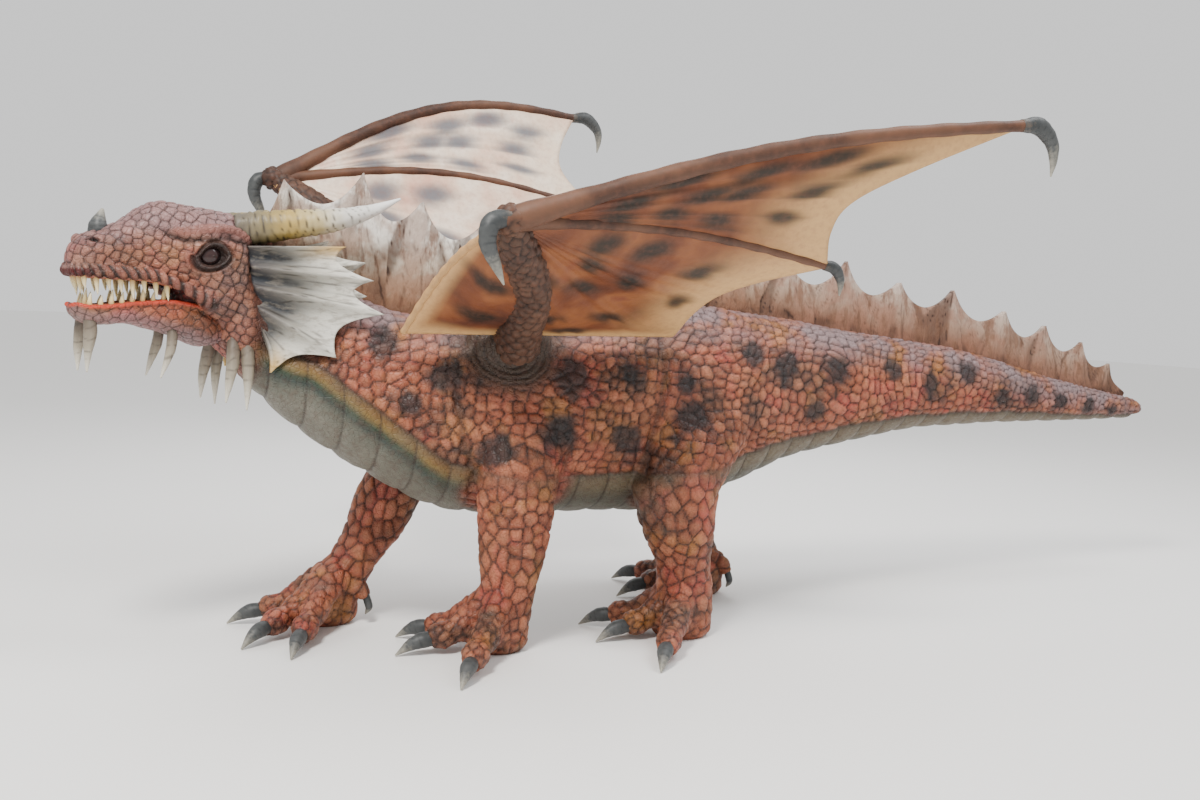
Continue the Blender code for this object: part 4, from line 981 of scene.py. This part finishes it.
def skin_pieces(material):
    """The whole skin as one relief, split between the pieces where the split cannot be seen."""
    verts, coarse, small, hanging, held_by = skin_form()
    quads = np.vstack([coarse, small])
    normals = point_normals(verts, quads)
    local = head_frame(verts)
    in_head = smooth(-0.06, 0.04, local[:, 0])
    along_eye, over_eye = local[:, 0] - EYE_AT[0], local[:, 2] - EYE_AT[2]
    over_eye = over_eye + 0.22 * along_eye + 5.0 * along_eye ** 2 * (over_eye > 0)
    eye_ring = np.hypot(along_eye / 0.052, over_eye / 0.038)
    eye_ring += 9 * smooth(0.11, 0.08, np.abs(local[:, 1]))
    socket = smooth(2.0, 1.6, eye_ring) * in_head
    x, y, z = verts.T

    legs = np.zeros(len(verts))
    toes = np.zeros(len(verts))
    for leg in LEGS.values():
        line = np.array(leg["line"])[1:, :3]
        gap, _ = line_distance(verts, line[::2])
        legs = np.maximum(legs, smooth(0.28, 0.18, gap) * smooth(0.86, 0.66, z))
        legs = np.maximum(legs, smooth(0.24, 0.18, z))
        for tip in leg["toes"]:
            gap, _ = line_distance(verts, toe_lines(leg, tip)[0])
            toes = np.maximum(toes, smooth(0.11, 0.07, gap))

    belly_line = np.array(BELLY_LINE)
    band_z = np.interp(x, belly_line[:, 0], belly_line[:, 1])
    wave = 0.012 * value_noise(verts, 0.12, 3)
    below = band_z + wave - z
    rear = smooth(-0.95, -0.55, x) * smooth(0.17, 0.06, below) * 0.85
    belly = smooth(-0.006, 0.006, below) * (1 - legs) * (1 - in_head)
    band = np.clip(below / 0.20, 0, 1)

    size = 0.050 - 0.017 * smooth(1.3, 3.2, x) - 0.006 * smooth(-1.15, -1.6, x)
    places = np.linspace(-2.5, 3.5, 601)
    lengths = np.interp(places, (-1.6, -1.15, 1.3, 3.2), (0.046, 0.054, 0.054, 0.035))
    warp = np.stack([np.interp(x, places, np.cumsum(0.01 / lengths)), y / size, (z - 1.0) / size], axis=1)
    stray = np.stack([value_noise(verts, 0.24, seed) for seed in (15, 16, 17)], axis=1)
    warp += 1.1 * stray
    relief = np.zeros(len(verts))
    groove_wash_and_shade = np.zeros(len(verts))
    top = np.zeros(len(verts))
    tone = np.full(len(verts), 0.5)
    # How much of a point is such skin, where it lies in that pattern, the scales' size, seed and height
    for weight, places, cell, seed, lift in (
            ((1 - legs) * (1 - in_head) * (1 - belly), warp, 1.0, 11, 0.0100),
            (legs * (1 - toes), verts * (1.0, 1.0, 0.85) + 0.03 * stray, 0.054, 12, 0.0095),
            (toes, verts, 0.040, 13, 0.0050),
            (in_head * (1 - socket), verts, 0.036, 14, 0.0050)):
        use = weight > 0.01
        border, tilt, random = scale_cells(places[use], cell, seed)
        puff = 1 - (1 - np.clip(border / 0.34, 0, 1)) ** 2.3
        relief[use] += weight[use] * lift * (puff - 0.62 + 0.35 * (random - 0.5) + 0.70 * tilt)
        # Grooves between scales: brown wash and painted shade
        groove_wash_and_shade[use] += weight[use] * smooth(0.125, 0.02, border)
        # Raised middles of scales: dry-brushed paint and painted highlight
        top[use] += weight[use] * smooth(0.20, 0.42, border)
        tone[use] += weight[use] * (random - 0.5)

    plate = np.abs((x * 1.04 / PLATE_LENGTH) % 1 - 0.5) * 2
    relief += belly * (0.012 * (1 - plate ** 3) - 0.006)
    # Seams between belly plates and the band's edge line: brown wash and painted shade
    groove_wash_and_shade += belly * smooth(0.90, 0.99, plate) * 0.8
    edge_line = np.exp(-(below / 0.012) ** 2) * (1 - legs) * (1 - in_head)
    relief -= 0.006 * edge_line
    groove_wash_and_shade = np.maximum(groove_wash_and_shade, 0.7 * edge_line)

    for line, depth, width in FOLDS:
        gap, _ = line_distance(np.stack([x, z], axis=1), np.array(line))
        fold = np.exp(-(gap / width) ** 2) * smooth(0.15, 0.25, np.abs(y))
        relief -= depth * fold
        # Brown wash and painted shade in the fold
        groove_wash_and_shade = np.maximum(groove_wash_and_shade, 0.7 * fold)

    moss = np.zeros(len(verts))
    for side in ("left", "right"):
        gap = np.linalg.norm((verts - np.array(SHOULDER[side]) + (0.02, 0, 0.02)) * (0.85, 0.6, 1.0), axis=1)
        gap = gap + 0.012 * value_noise(verts, 0.07, 7)
        ring = smooth(0.20, 0.15, gap)
        wave_share = (gap / 0.026) % 1
        relief = over(relief, ring, 0.009 * (np.sin(np.pi * wave_share) ** 0.6 - 0.5))
        # Brown wash and painted shade in the wrinkles round the wing root
        groove_wash_and_shade = over(groove_wash_and_shade, ring, smooth(0.14, 0.03, np.minimum(wave_share, 1 - wave_share)))
        moss = np.maximum(moss, smooth(0.27, 0.13, gap))

    spot = np.zeros(len(verts))
    ragged = 1 + 0.40 * value_noise(verts, 0.045, 5) + 0.35 * value_noise(verts, 0.11, 6)
    for spot_x, spot_z, radius in SPOTS:
        gap = np.hypot(x - spot_x - 0.10 * (y > 0), (z - spot_z) * 1.1) * ragged
        spot = np.maximum(spot, smooth(radius * 1.90, radius * 0.25, gap))
    spot *= 1 - belly

    relief, groove_wash_and_shade, dark, pink, mouth, snout = head_features(local, in_head, eye_ring, normals, relief, groove_wash_and_shade)
    folds = value_noise(verts * (1.0, 1.0, 0.35), 0.028, 8)
    relief += 0.0012 * folds + 0.0022 * value_noise(verts, 0.16, 9)
    trunk = np.array(TRUNK)
    spine = np.interp(x, trunk[:, 0], trunk[:, 1] + trunk[:, 2])
    back = smooth(spine - 0.22, spine - 0.04, z) * smooth(-1.7, -1.3, x)
    verts = verts + normals * (relief * smooth(-0.002, 0.03, z))[:, None]

    verts[:, 2] = np.maximum(verts[:, 2], 0.0)
    verts[hanging] = verts[held_by].mean(1)
    normals = point_normals(verts, quads)
    attributes = dict(zip(SKIN_PAINTS, (
        np.clip(groove_wash_and_shade, 0, 1), tone, belly, band, spot, moss, rear, top, back, snout, np.zeros(len(verts)),
        mouth, np.clip(dark, 0, 1), pink)))
    for values in attributes.values():
        values[hanging] = values[held_by].mean(1)
    middle = x[coarse].mean(1)
    names = ("chest_and_front_legs_skin", "hips_and_hind_legs_skin", "tail_skin")
    bounds = (-9.0, *SKIN_CUTS[1:], 9.0)
    blocks = [("head_and_neck_skin", small)]
    blocks += [(name, coarse[(middle >= low) & (middle < high)])
               for name, low, high in zip(names, bounds, bounds[1:])]
    for name, block in blocks:
        used, index = np.unique(block, return_inverse=True)
        make_piece(name, (verts[used], [index.reshape(-1, 4)]), material, "root", ("body_skin",),
                   {key: values[used] for key, values in attributes.items()}, normals[used])


def jaw_piece(material):
    """The lower jaw: remeshed from its loft with a raised lip rim, scaled like the head and red within."""
    rows = smooth_rows(JAW, 6)
    shapes = [loft(box_rings(rows, 48, 0.55, 0.85))]
    for side in (1, -1):
        rim = np.stack([rows[:, 0], side * (rows[:, 3] - 0.006), rows[:, 1] - 0.006], axis=1)
        rim = rim[(rows[:, 0] > 0.15) & (rows[:, 0] < 0.650)]
        shapes.append(tube(rim, np.full(len(rim), LIP_RADIUS), 14))
    verts, quads, edges = remeshed(joined([head_shape(one) for one in shapes]), JAW_VOXEL)
    verts = softened(verts, edges, 3, np.full(len(verts), 0.5))
    normals = point_normals(verts, quads)
    local = head_frame(verts)
    forward, side_place, height = local.T
    side_out = np.abs(side_place)
    border, _, random = scale_cells(verts, 0.034, 21)
    lip_height, underside, half = at_marks(forward, np.array(JAW)[:, 0], np.array(JAW)[:, 1:]).T
    inside = smooth(half - 0.010, half - 0.022, side_out) * smooth(lip_height - 0.03, lip_height - 0.01, height)
    rim = smooth(lip_height - 0.016, lip_height - 0.004, height) * (1 - inside)
    weight = (1 - inside) * (1 - rim)
    relief = weight * 0.0034 * (1 - (1 - np.clip(border / 0.4, 0, 1)) ** 2.4 - 0.6)
    relief -= 0.020 * inside * smooth(0.20, 0.30, forward) * smooth(0.64, 0.60, forward)
    # Grooves between the jaw's scales: brown wash and painted shade
    groove_wash_and_shade = weight * smooth(0.11, 0.02, border)
    verts = verts + normals * relief[:, None]
    attributes = dict.fromkeys(SKIN_PAINTS, 0 * groove_wash_and_shade)
    attributes.update({
        "groove_wash_and_shade": groove_wash_and_shade, "tone": 0.5 + 0.5 * (random - 0.5), "lip": rim * smooth(0.16, 0.24, forward),
        "mouth": inside, "snout": 0.75 * smooth(underside + 0.07, underside + 0.02, height) * (1 - inside)})
    piece = make_piece("jaw_skin", (verts, [quads]), material, None, ("jaw",), attributes,
                       point_normals(verts, quads))
    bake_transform(piece)


def tooth_rows(material):
    """Each row: bent cones set along the lip's line, and the gum they stand in."""
    for name, stations, column, way, size, body, node in (
            ("upper_tooth_row", SKULL, 2, -1, UPPER_TOOTH, "root", "upper_teeth"),
            ("lower_tooth_row", JAW, 1, 1, LOWER_TOOTH, "jaw", "lower_teeth")):
        length, radius, inset, front = size
        rows = smooth_rows(stations, 10)
        rows = rows[(rows[:, 0] > TEETH_FROM) & (rows[:, 0] < front)]
        left = np.stack([rows[:, 0], rows[:, 3] - inset - radius, rows[:, column]], axis=1)
        line = resampled(np.vstack([left, left[::-1] * (1, -1, 1)]), 4 * 2 * TEETH_A_SIDE + 1)
        line[:, 2] -= way * 0.004
        shapes = [tube(line, np.full(len(line), GUM_RADIUS), 12)]
        along = [np.zeros(len(shapes[0][0]))]
        for k in range(2 * TEETH_A_SIDE):
            foot = line[4 * k + 2]
            reach = length * (1.0 + 0.20 * math.cos(2.3 * k + way) - 0.10 * math.cos(1.1 * k))
            share = np.linspace(0, 1, 9)
            path = foot + np.outer(share, (0, 0, way * reach)) + np.outer(share ** 2, (-TOOTH_BEND, 0, 0))
            radii = radius * (1 - share ** 1.35) ** 0.8 + 0.0007
            shapes.append(tube(path, radii, 10, up=(1, 0, 0)))
            along.append(np.r_[np.repeat(share, 10) * 0.9 + 0.1, 0.1, 1.0])
        make_piece(name, head_shape(joined(shapes)), material, body, (node,),
                   {"along": np.concatenate(along)})


def cone_piece(name, path, radii, material, body, node, rings, around, wrinkle, spacing, up=(0, 0, 1)):
    """A horn, spike or claw: rings on a smooth line, with raised uneven bands across it and a blunt tip."""
    rows = resampled(smooth_rows(np.column_stack([path, radii]), 10), rings)
    share = np.linspace(0, 1, rings)
    length = np.linalg.norm(np.diff(rows[:, :3], axis=0), axis=1).sum()
    verts, faces = tube(rows[:, :3], rows[:, 3], around, up=up)
    along = np.r_[np.repeat(share, around), 0.0, 1.0]
    centre = np.vstack([np.repeat(rows[:, :3], around, 0), rows[:1, :3], rows[-1:, :3]])
    angle = np.r_[np.tile(np.arange(around) / around, rings), 0, 0]
    phase = along * length / spacing + 0.6 * value_noise(verts, 0.05, 31) + 0.12 * np.sin(2 * np.pi * angle)
    ridge = np.abs(phase % 1 - 0.5) * 2
    fade = smooth(0.95, 0.6, along)
    radius = np.linalg.norm(verts - centre, axis=1, keepdims=True)
    push = 1 + wrinkle * fade * (0.5 - ridge ** 2) + 0.05 * value_noise(verts, 0.02, 32)
    verts = centre + (verts - centre) * np.where(radius > 1e-6, push[:, None], 1)
    crack = smooth(0.80, 0.98, ridge) * fade
    make_piece(name, (verts, faces), material, body, (node,), {"along": along, "crack": crack})


def head_furniture(materials):
    """Horns, hanging spikes, eyes and nose horn, in the head's frame."""
    for name, side in (("left", 1), ("right", -1)):
        flip = np.array((1, side, 1))
        cone_piece(name + "_cast_horn", head_point(np.array(HORN) * flip), HORN_RADII, materials["horn"], "root",
                   name + "_horn", 90, 36, 0.10, 0.030)
        for kind, node, body, radii, line in SPIKES:
            cone_piece(f"{name}_{kind}_hanging_spike", head_point(np.array(line) * flip), radii,
                       materials["spike"], body, name + node, 40, 20, 0.015, 0.045, (1, 0, 0))
        centre = head_point(np.array(EYE_AT) * flip)
        verts, faces = ball(centre, (EYE_RADIUS,) * 3, 32, 40)
        look = head_point(np.array(EYE_AT) * flip + (0.25, side * 1.0, 0.0)) - centre
        off = np.arccos(np.clip((verts - centre) @ look / np.linalg.norm(look) / EYE_RADIUS, -1, 1))
        make_piece(name + "_glass_eye", (verts, faces), materials["eye"], "root", (name + "_eye",),
                   {"ring": np.clip(off / 0.9, 0, 1)})
    cone_piece("nose_cast_horn", head_point(NOSE_HORN), (0.036, 0.034, 0.021, 0.005), materials["claw"], "root",
               "nose_horn", 36, 24, 0.03, 0.02, (1, 0, 0))


def fin_piece(name, node, material, side, spread, root_top, root_low, tips, dip, bulge, yellow):
    """A webbed fan: across it rays and scallops between, out of it a bowed web that thins to its edge.

    The edge at a share between two ray tips is the straight line between them pulled in by the dip's sine.
    """
    across, out = FAN_GRID
    tips = np.asarray(tips, float)
    count = len(tips)
    u = np.linspace(0, count - 1, across)
    k = np.minimum(u.astype(int), count - 2)
    t = (u - k)[:, None]
    down = (u / (count - 1))[:, None]
    root = np.asarray(root_top) * (1 - down) + np.asarray(root_low) * down
    edge = tips[k] * (1 - t) + tips[k + 1] * t
    edge = root + (edge - root) * (1 - dip * np.sin(np.pi * t) ** 0.8)
    ray = np.abs(np.cos(np.pi * t)) ** 6
    level = np.linspace(0, 1, out)[None, :, None]
    middle = root[:, None] + (edge - root)[:, None] * level
    middle[..., 1] += bulge * np.sin(np.pi * level[..., 0]) * (0.4 + 0.6 * ray)
    middle[..., 1] += math.tan(spread) * (root_top[0] - middle[..., 0])
    middle[..., 1] *= side
    lines = value_noise(np.column_stack([np.repeat(u * 9, out), np.tile(np.linspace(0, 1, out) * 1.6, across),
                                         np.zeros(across * out)]), 1.0, 41).reshape(across, out)
    level = level[..., 0]
    thick = FAN_HALF * (1.6 - level) * (0.55 + 1.7 * ray) + 0.0030 * lines
    pocket = np.sin(np.pi * t) ** 1.6 * smooth(0.80, 0.30, level)
    middle[..., 1] -= side * (0.020 * pocket + 0.007 * np.sin(np.pi * t) * np.sin(np.pi * level))
    offset = np.zeros_like(middle)
    offset[..., 1] = side * np.maximum(thick, 0.0022)
    crack = smooth(0.10, 0.02, np.abs(lines)) * smooth(0.03, 0.20, level) * (1.1 - 0.5 * level)
    gold = np.zeros((across, out))
    for which in yellow:
        gold = np.maximum(gold, np.exp(-((u[:, None] - which) / 0.30) ** 2) * smooth(0.40, 0.95, level))
    values = {"level": np.broadcast_to(level, (across, out)), "pocket": pocket, "crack": crack, "yellow": gold}
    make_piece(name, head_shape(sheet(middle + offset, middle - offset)), material, "root", (node,),
               {key: np.tile(np.asarray(value).ravel(), 2) for key, value in values.items()})


def fins(material):
    """The two fans on each side, spread further from the head on the left."""
    for name, side, spread in (("left", 1, math.radians(20.0)), ("right", -1, math.radians(2.0))):
        for piece, node, *form in FANS:
            fin_piece(name + piece, name + node, material, side, spread, *form)


def crest_base(x):
    """Height of the spine's ridge at x."""
    rows = smooth_rows(TRUNK, 6)
    return np.interp(x, rows[:, 0], rows[:, 1] + rows[:, 2])


def crest_piece(material):
    """The crest: an upright fin, thick at its root, whose upper edge goes from spike to dip to spike.

    Between two tips the edge is the straight line between them less the dip, a sine. Folds fan out from
    the root to the spikes.
    """
    tips = np.array(((CREST_ENDS[0], crest_base(CREST_ENDS[0]) + 0.02), *CREST_TIPS,
                     (CREST_ENDS[1], crest_base(CREST_ENDS[1]) + 0.02)))
    columns, rows = CREST_GRID
    x = np.linspace(*CREST_ENDS, columns)
    k = np.clip(np.searchsorted(tips[:, 0], x) - 1, 0, len(tips) - 2)
    share = (x - tips[k, 0]) / (tips[k + 1, 0] - tips[k, 0])
    low = crest_base(x) - 0.045
    line = tips[k, 1] * (1 - share) + tips[k + 1, 1] * share
    dip = np.interp(x, (-1.6, 0.5), (0.25, CREST_DIP)) * np.sin(np.pi * share ** 0.9) ** 0.85
    top = line - dip * (line - crest_base(x))
    level = np.linspace(0, 1, rows)
    z = low[:, None] + (top - low)[:, None] * level
    lean = 0.05 * (top - low)[:, None] * level ** 2
    nearest = np.where(share < 0.5, k, k + 1)
    fan = (x - tips[nearest, 0])[:, None] / (0.35 + 0.65 * (1 - level[None]) + 0.12)
    folds, fine = (
        value_noise(np.stack([fan * across + nearest[:, None] * shift, level[None] * up + 0 * fan, 0 * fan],
                             axis=-1).reshape(-1, 3), 1.0, seed).reshape(columns, rows)
        for across, shift, up, seed in ((12, 7.3, 1.3, 51), (34, 3.1, 2.6, 52)))
    fade = np.minimum(0.25 + (x - CREST_ENDS[0]) * 2, 0.25 + (CREST_ENDS[1] - x) * 1.2)
    half = (0.034 + (0.007 - 0.034) * level[None] ** 0.7) * np.minimum(1.0, fade)[:, None]
    half += (0.013 * folds + 0.005 * fine) * np.sin(np.pi * level[None] ** 0.8)
    half += 0.008 * np.exp(-(np.minimum(share, 1 - share) / 0.16) ** 2)[:, None] * level[None]
    half = np.maximum(half, 0.003)
    bend = 0.006 * np.sin(x * 9.0)[:, None] * level ** 2
    left = np.stack([x[:, None] + lean, bend - half, z], axis=-1)
    right = np.stack([x[:, None] + lean, bend + half, z], axis=-1)
    rings = np.concatenate([left, right[:, ::-1]], axis=1)
    crack = smooth(-0.20, -0.60, folds) * 0.60 * smooth(0.05, 0.25, level[None])
    crack += smooth(0.11, 0.02, np.abs(fine)) * 0.55
    values = {"height": np.clip((z - low[:, None]) / 0.36, 0, 1), "crack": crack,
              "tail": np.repeat(smooth(0.3, 1.2, x)[:, None], rows, axis=1)}
    make_piece("back_crest", loft(rings), material, "root", ("crest",),
               {key: np.r_[np.concatenate([value, value[:, ::-1]], axis=1).ravel(), value[0, 0], value[-1, 0]]
                for key, value in values.items()})


def wing_rays(wing):
    """Outer points of the membrane seen from the wrist, with how far each ray bows up."""
    wrist, front, rear = np.array(wing["wrist"]), np.array(wing["front"]), np.array(wing["rear"])
    finger, spar = np.array(wing["finger"]), np.array(wing["spar"])
    rays = [(*front, 0.07)]
    for share in (0.20, 0.40, 0.60, 0.80):
        rays.append((*(front + (rear - front) * share), 0.02 - 0.09 * math.sin(math.pi * share)))
    rays.append((*rear, wing["bows"][0]))
    for start, end, bows, scallop in ((rear, finger, wing["bows"][:2], 0.13),
                                      (finger, spar, wing["bows"][1:], wing["tip_scallop"])):
        for share in (0.25, 0.5, 0.75):
            point = start + (end - start) * share
            pull = scallop * math.sin(math.pi * share)
            bow = bows[0] + (bows[1] - bows[0]) * share - 0.04 * math.sin(math.pi * share)
            rays.append((*(point + (wrist - point) * pull), bow))
        rays.append((*end, bows[1]))
    return wrist, np.array(rays)


def bowed(wrist, tips, bows, levels):
    """Rays from the wrist's knob to their tips, each bowed up by a sine between its ends."""
    reach = tips - wrist
    start = wrist + reach * 0.035 / np.linalg.norm(reach, axis=-1, keepdims=True)
    grid = start[:, None] + (tips - start)[:, None] * levels[None, :, None]
    grid[..., 2] += bows[:, None] * np.sin(np.pi * np.clip(levels, 0, 1))[None]
    return grid


def wing_piece(side, material):
    """Membrane, spar, second finger, rolled front edge and arm as the one casting."""
    wing = WINGS[side]
    wrist, rays = wing_rays(wing)
    across, out = WING_GRID
    marks = np.linspace(0, len(rays) - 1, across)
    fine = at_marks(marks, np.arange(len(rays)), rays)
    for corner_low, corner_high in ((5, 9), (9, 13)):
        part = smooth_rows(rays[corner_low:corner_high + 1], 12)
        use = (marks >= corner_low) & (marks <= corner_high)
        fine[use] = at_marks(marks[use], np.linspace(corner_low, corner_high, len(part)), part)
    levels = np.linspace(0, 1, out)
    grid = bowed(wrist, fine[:, :3], fine[:, 3], levels)
    normal = np.cross(np.gradient(grid, axis=1), np.gradient(grid, axis=0))
    normal /= np.linalg.norm(normal, axis=2)[..., None]
    if normal[..., 2].mean() < 0:
        normal = -normal
    u, v = np.broadcast_arrays(marks[:, None], levels[None])
    creases = value_noise(np.stack([u * 5.0, v * 1.2, 0 * u], axis=-1).reshape(-1, 3), 1.0, 61).reshape(u.shape)
    grid = grid + normal * (0.006 * creases * np.sin(np.pi * v) ** 0.5)[..., None]
    half = normal * (0.0055 + 0.003 * smooth(0.97, 1.0, v))[..., None]

    reach = np.linalg.norm(grid - wrist, axis=2)
    spot = np.zeros(u.shape)
    for row, (ray, start, step) in enumerate(WING_SPOTS):
        for k in range(5):
            at = start + step * k + 0.03 * math.sin(5.1 * row + 2.7 * k)
            if at > 0.93:
                continue
            gap = np.hypot((u - ray - 0.2 * math.sin(3.3 * k + row)) * reach * 0.17, (v - at) * reach.max() * 0.55)
            spot = np.maximum(spot, smooth(0.100, 0.018, gap * (1 + 0.3 * creases)))
    edge = np.maximum(smooth(0.62, 0.98, v) * smooth(3.6, 5.6, u), smooth(0.86, 1.0, v))
    edge = np.maximum(edge, smooth(0.50, 0.05, u)) * 0.85

    # Each shape of the casting with what is painted on it, where that isn't the plain underside with its painted
    # shade
    parts = [(sheet(grid + half, grid - half), {
        "under": np.repeat((0.0, 1.0), across * out), "edge": np.tile(edge.ravel(), 2),
        "spot": np.tile(0.92 * spot.ravel(), 2)})]
    # The spar, second finger and front edge take the bone paint with its painted shade, the front edge only a
    # little
    for index, root, end, last, paints in (
            (len(rays) - 1, 0.036, 0.022, 1.01, {"bone_paint_and_shade": 0.90}), (9, 0.026, 0.016, 1.01, {"bone_paint_and_shade": 0.90}),
            (0, 0.016, 0.013, 1.0, {"bone_paint_and_shade": 0.10, "edge": 0.75})):
        rib_levels = np.linspace(-0.03, last, 120)
        line = bowed(wrist, rays[index:index + 1, :3], rays[index:index + 1, 3], rib_levels)[0]
        radii = root + (end - root) * np.clip(rib_levels, 0, 1) + 0.0015 * np.sin(rib_levels * 70)
        radii += 0.35 * root * np.exp(-(rib_levels / 0.09) ** 2)
        parts.append((tube(line, radii, 22), paints))
    shoulder = np.array(wing["shoulder"])
    middle = (shoulder + wrist) / 2 + np.array((0.075, 0.0, -0.005))
    arm = smooth_rows(np.vstack([np.r_[shoulder, 0.105], np.r_[shoulder * 0.72 + middle * 0.28, 0.092],
                                 np.r_[middle, 0.082], np.r_[middle * 0.35 + wrist * 0.65, 0.074],
                                 np.r_[wrist + (0.004, 0, 0.004), 0.046]]), 30)
    around = 72
    bone = np.vstack([np.repeat(arm[:, :3], around, 0), arm[:1, :3], arm[-1:, :3]])
    # The arm, wrist and shoulder take the bone paint with its painted shade
    for (verts, faces), centre, bone_paint_and_shade in ((tube(arm[:, :3], arm[:, 3], around), bone, 1.0),
                                        (ball(wrist, (0.056,) * 3, 20, 28), wrist, 0.90),
                                        (ball(shoulder, (0.090,) * 3, 20, 28), shoulder, 0.90)):
        # The arm's scale grooves: brown wash and painted shade
        border, _, _ = scale_cells(verts, ARM_SCALE, 62)
        away = verts - centre
        length = np.maximum(np.linalg.norm(away, axis=1, keepdims=True), 1e-6)
        puff = 1 - (1 - np.clip(border / 0.4, 0, 1)) ** 2.2
        parts.append(((verts + away / length * (ARM_RELIEF * (puff - 0.6))[:, None], faces),
                      {"bone_paint_and_shade": bone_paint_and_shade, "groove_wash_and_shade": smooth(0.14, 0.02, border)}))
    values = {key: np.concatenate([np.broadcast_to(paints.get(key, plain), len(shape[0]))
                                   for shape, paints in parts])
              for key, plain in (("under", 1.0), ("edge", 0.0), ("spot", 0.0), ("bone_paint_and_shade", 0.0), ("groove_wash_and_shade", 0.0))}
    piece = make_piece(side + "_wing_casting", joined([shape for shape, _ in parts]), material, None,
                       (side + "_wing",), values)
    out_way = np.array((0.0, -1.0 if side == "left" else 1.0, 0.6))
    start = shoulder + SHIFT - 0.05 * out_way
    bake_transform(piece)


def wing_claws(side, material):
    """The claws at the wrist, the second finger's end and the spar's end."""
    wing = WINGS[side]
    wrist, finger, spar = np.array(wing["wrist"]), np.array(wing["finger"]), np.array(wing["spar"])
    out = math.copysign(0.022, wrist[1])
    for name, root, line, radii in (
            ("thumb", wrist, ((-0.005, out, 0.008), (-0.072, out, -0.015), (-0.085, out, -0.085),
                              (-0.050, out, -0.165), (-0.022, out, -0.225)), (0.030, 0.034, 0.030, 0.018, 0.003)),
            ("finger", finger, ((-0.010, 0, 0.004), (0.040, 0, -0.008), (0.070, 0, -0.055), (0.068, 0, -0.115)),
             (0.020, 0.024, 0.017, 0.003)),
            ("tip", spar, ((-0.010, 0, 0.000), (0.075, 0, 0.004), (0.142, 0, -0.050), (0.158, 0, -0.115),
                           (0.150, 0, -0.180)), (0.024, 0.034, 0.026, 0.016, 0.003))):
        cone_piece(f"{side}_{name}_hook", root + np.array(line), radii, material, side + "_wing",
                   f"{side}_{name}_claw", 48, 24, 0.03, 0.03, (0, 1, 0))


def foot_claws(material):
    """Three claws and a dewclaw on each foot."""
    for name, leg in LEGS.items():
        for number, tip in enumerate(leg["toes"], start=1):
            _, line = toe_lines(leg, tip)
            cone_piece(f"{name}_foot_claw_{number}", line, CLAW_RADIUS * np.array([0.85, 1.0, 0.68, 0.10]),
                       material, "root", f"{name}_claw_{number}", 36, 20, 0.03, 0.03)
        _, line = dew_lines(leg)
        cone_piece(f"{name}_back_claw", line, (0.017, 0.017, 0.003), material, "root", f"{name}_dewclaw",
                   28, 16, 0.03, 0.03, (1, 0, 0))


def studio():
    """Pale floor, soft light from above and the camera at the photo's place."""
    floor_material = finished(new_material("matt_studio_floor", 0.90, 0.2)[0], linear("#f4f3f1"))
    mesh = bpy.data.meshes.new("studio_floor")
    mesh.from_pydata([(-30, -30, 0), (30, -30, 0), (30, 60, 0), (-30, 60, 0)], [], [(0, 1, 2, 3)])
    mesh.materials.append(floor_material)
    floor = bpy.data.objects.new("studio_floor", mesh)
    bpy.context.scene.collection.objects.link(floor)
    for name, place, aim, power, size, colour in (
            ("key_light", (-4.0, -3.5, 6.5), (0, 0, 0.9), 640.0, 1.6, (1.0, 0.97, 0.93)),
            ("top_light", (2.5, -1.5, 7.0), (0.3, 0, 1.0), 260.0, 3.0, (0.97, 0.98, 1.0)),
            ("back_light", (2.0, 6.0, 5.5), (0, 0, 1.2), 200.0, 4.0, (1.0, 1.0, 1.0))):
        light = bpy.data.lights.new(name, "AREA")
        light.energy = power
        light.size = size
        light.color = colour
        made = bpy.data.objects.new(name, light)
        made.location = place
        made.rotation_euler = Vector(np.array(aim, float) - place).to_track_quat("-Z", "Y").to_euler()
        bpy.context.scene.collection.objects.link(made)
    world = bpy.data.worlds.new("studio_light")
    world.use_nodes = True
    sky = world.node_tree.nodes["Background"]
    sky.inputs["Color"].default_value = linear("#ffffff")
    sky.inputs["Strength"].default_value = 1.0
    bpy.context.scene.world = world
    lens = bpy.data.cameras.new("camera")
    lens.lens = CAMERA_LENS
    lens.sensor_width = CAMERA_SENSOR
    lens.sensor_fit = "HORIZONTAL"
    camera = bpy.data.objects.new("camera", lens)
    forward, right = np.array(CAMERA_FORWARD), np.array(CAMERA_RIGHT)
    forward /= np.linalg.norm(forward)
    right -= forward * (right @ forward)
    right /= np.linalg.norm(right)
    up = np.cross(right, forward)
    matrix = Matrix.Identity(4)
    for column, axis in enumerate((right, up, -forward)):
        for row in range(3):
            matrix[row][column] = axis[row]
    matrix.translation = np.array(CAMERA_AT) + SHIFT
    camera.matrix_world = matrix
    bpy.context.scene.collection.objects.link(camera)
    bpy.context.scene.camera = camera


MATERIALS = {
    "skin": skin_material(), "crest": crest_material(), "fin": fin_material(), "horn": horn_material(),
    "spike": spike_material(), "claw": claw_material(), "tooth": tooth_material(), "eye": eye_material(),
    "wing": wing_material(),
}
studio()
skin_pieces(MATERIALS["skin"])
jaw_piece(MATERIALS["skin"])
tooth_rows(MATERIALS["tooth"])
head_furniture(MATERIALS)
fins(MATERIALS["fin"])
crest_piece(MATERIALS["crest"])
for wing_side in ("left", "right"):
    wing_piece(wing_side, MATERIALS["wing"])
    wing_claws(wing_side, MATERIALS["claw"])
foot_claws(MATERIALS["claw"])
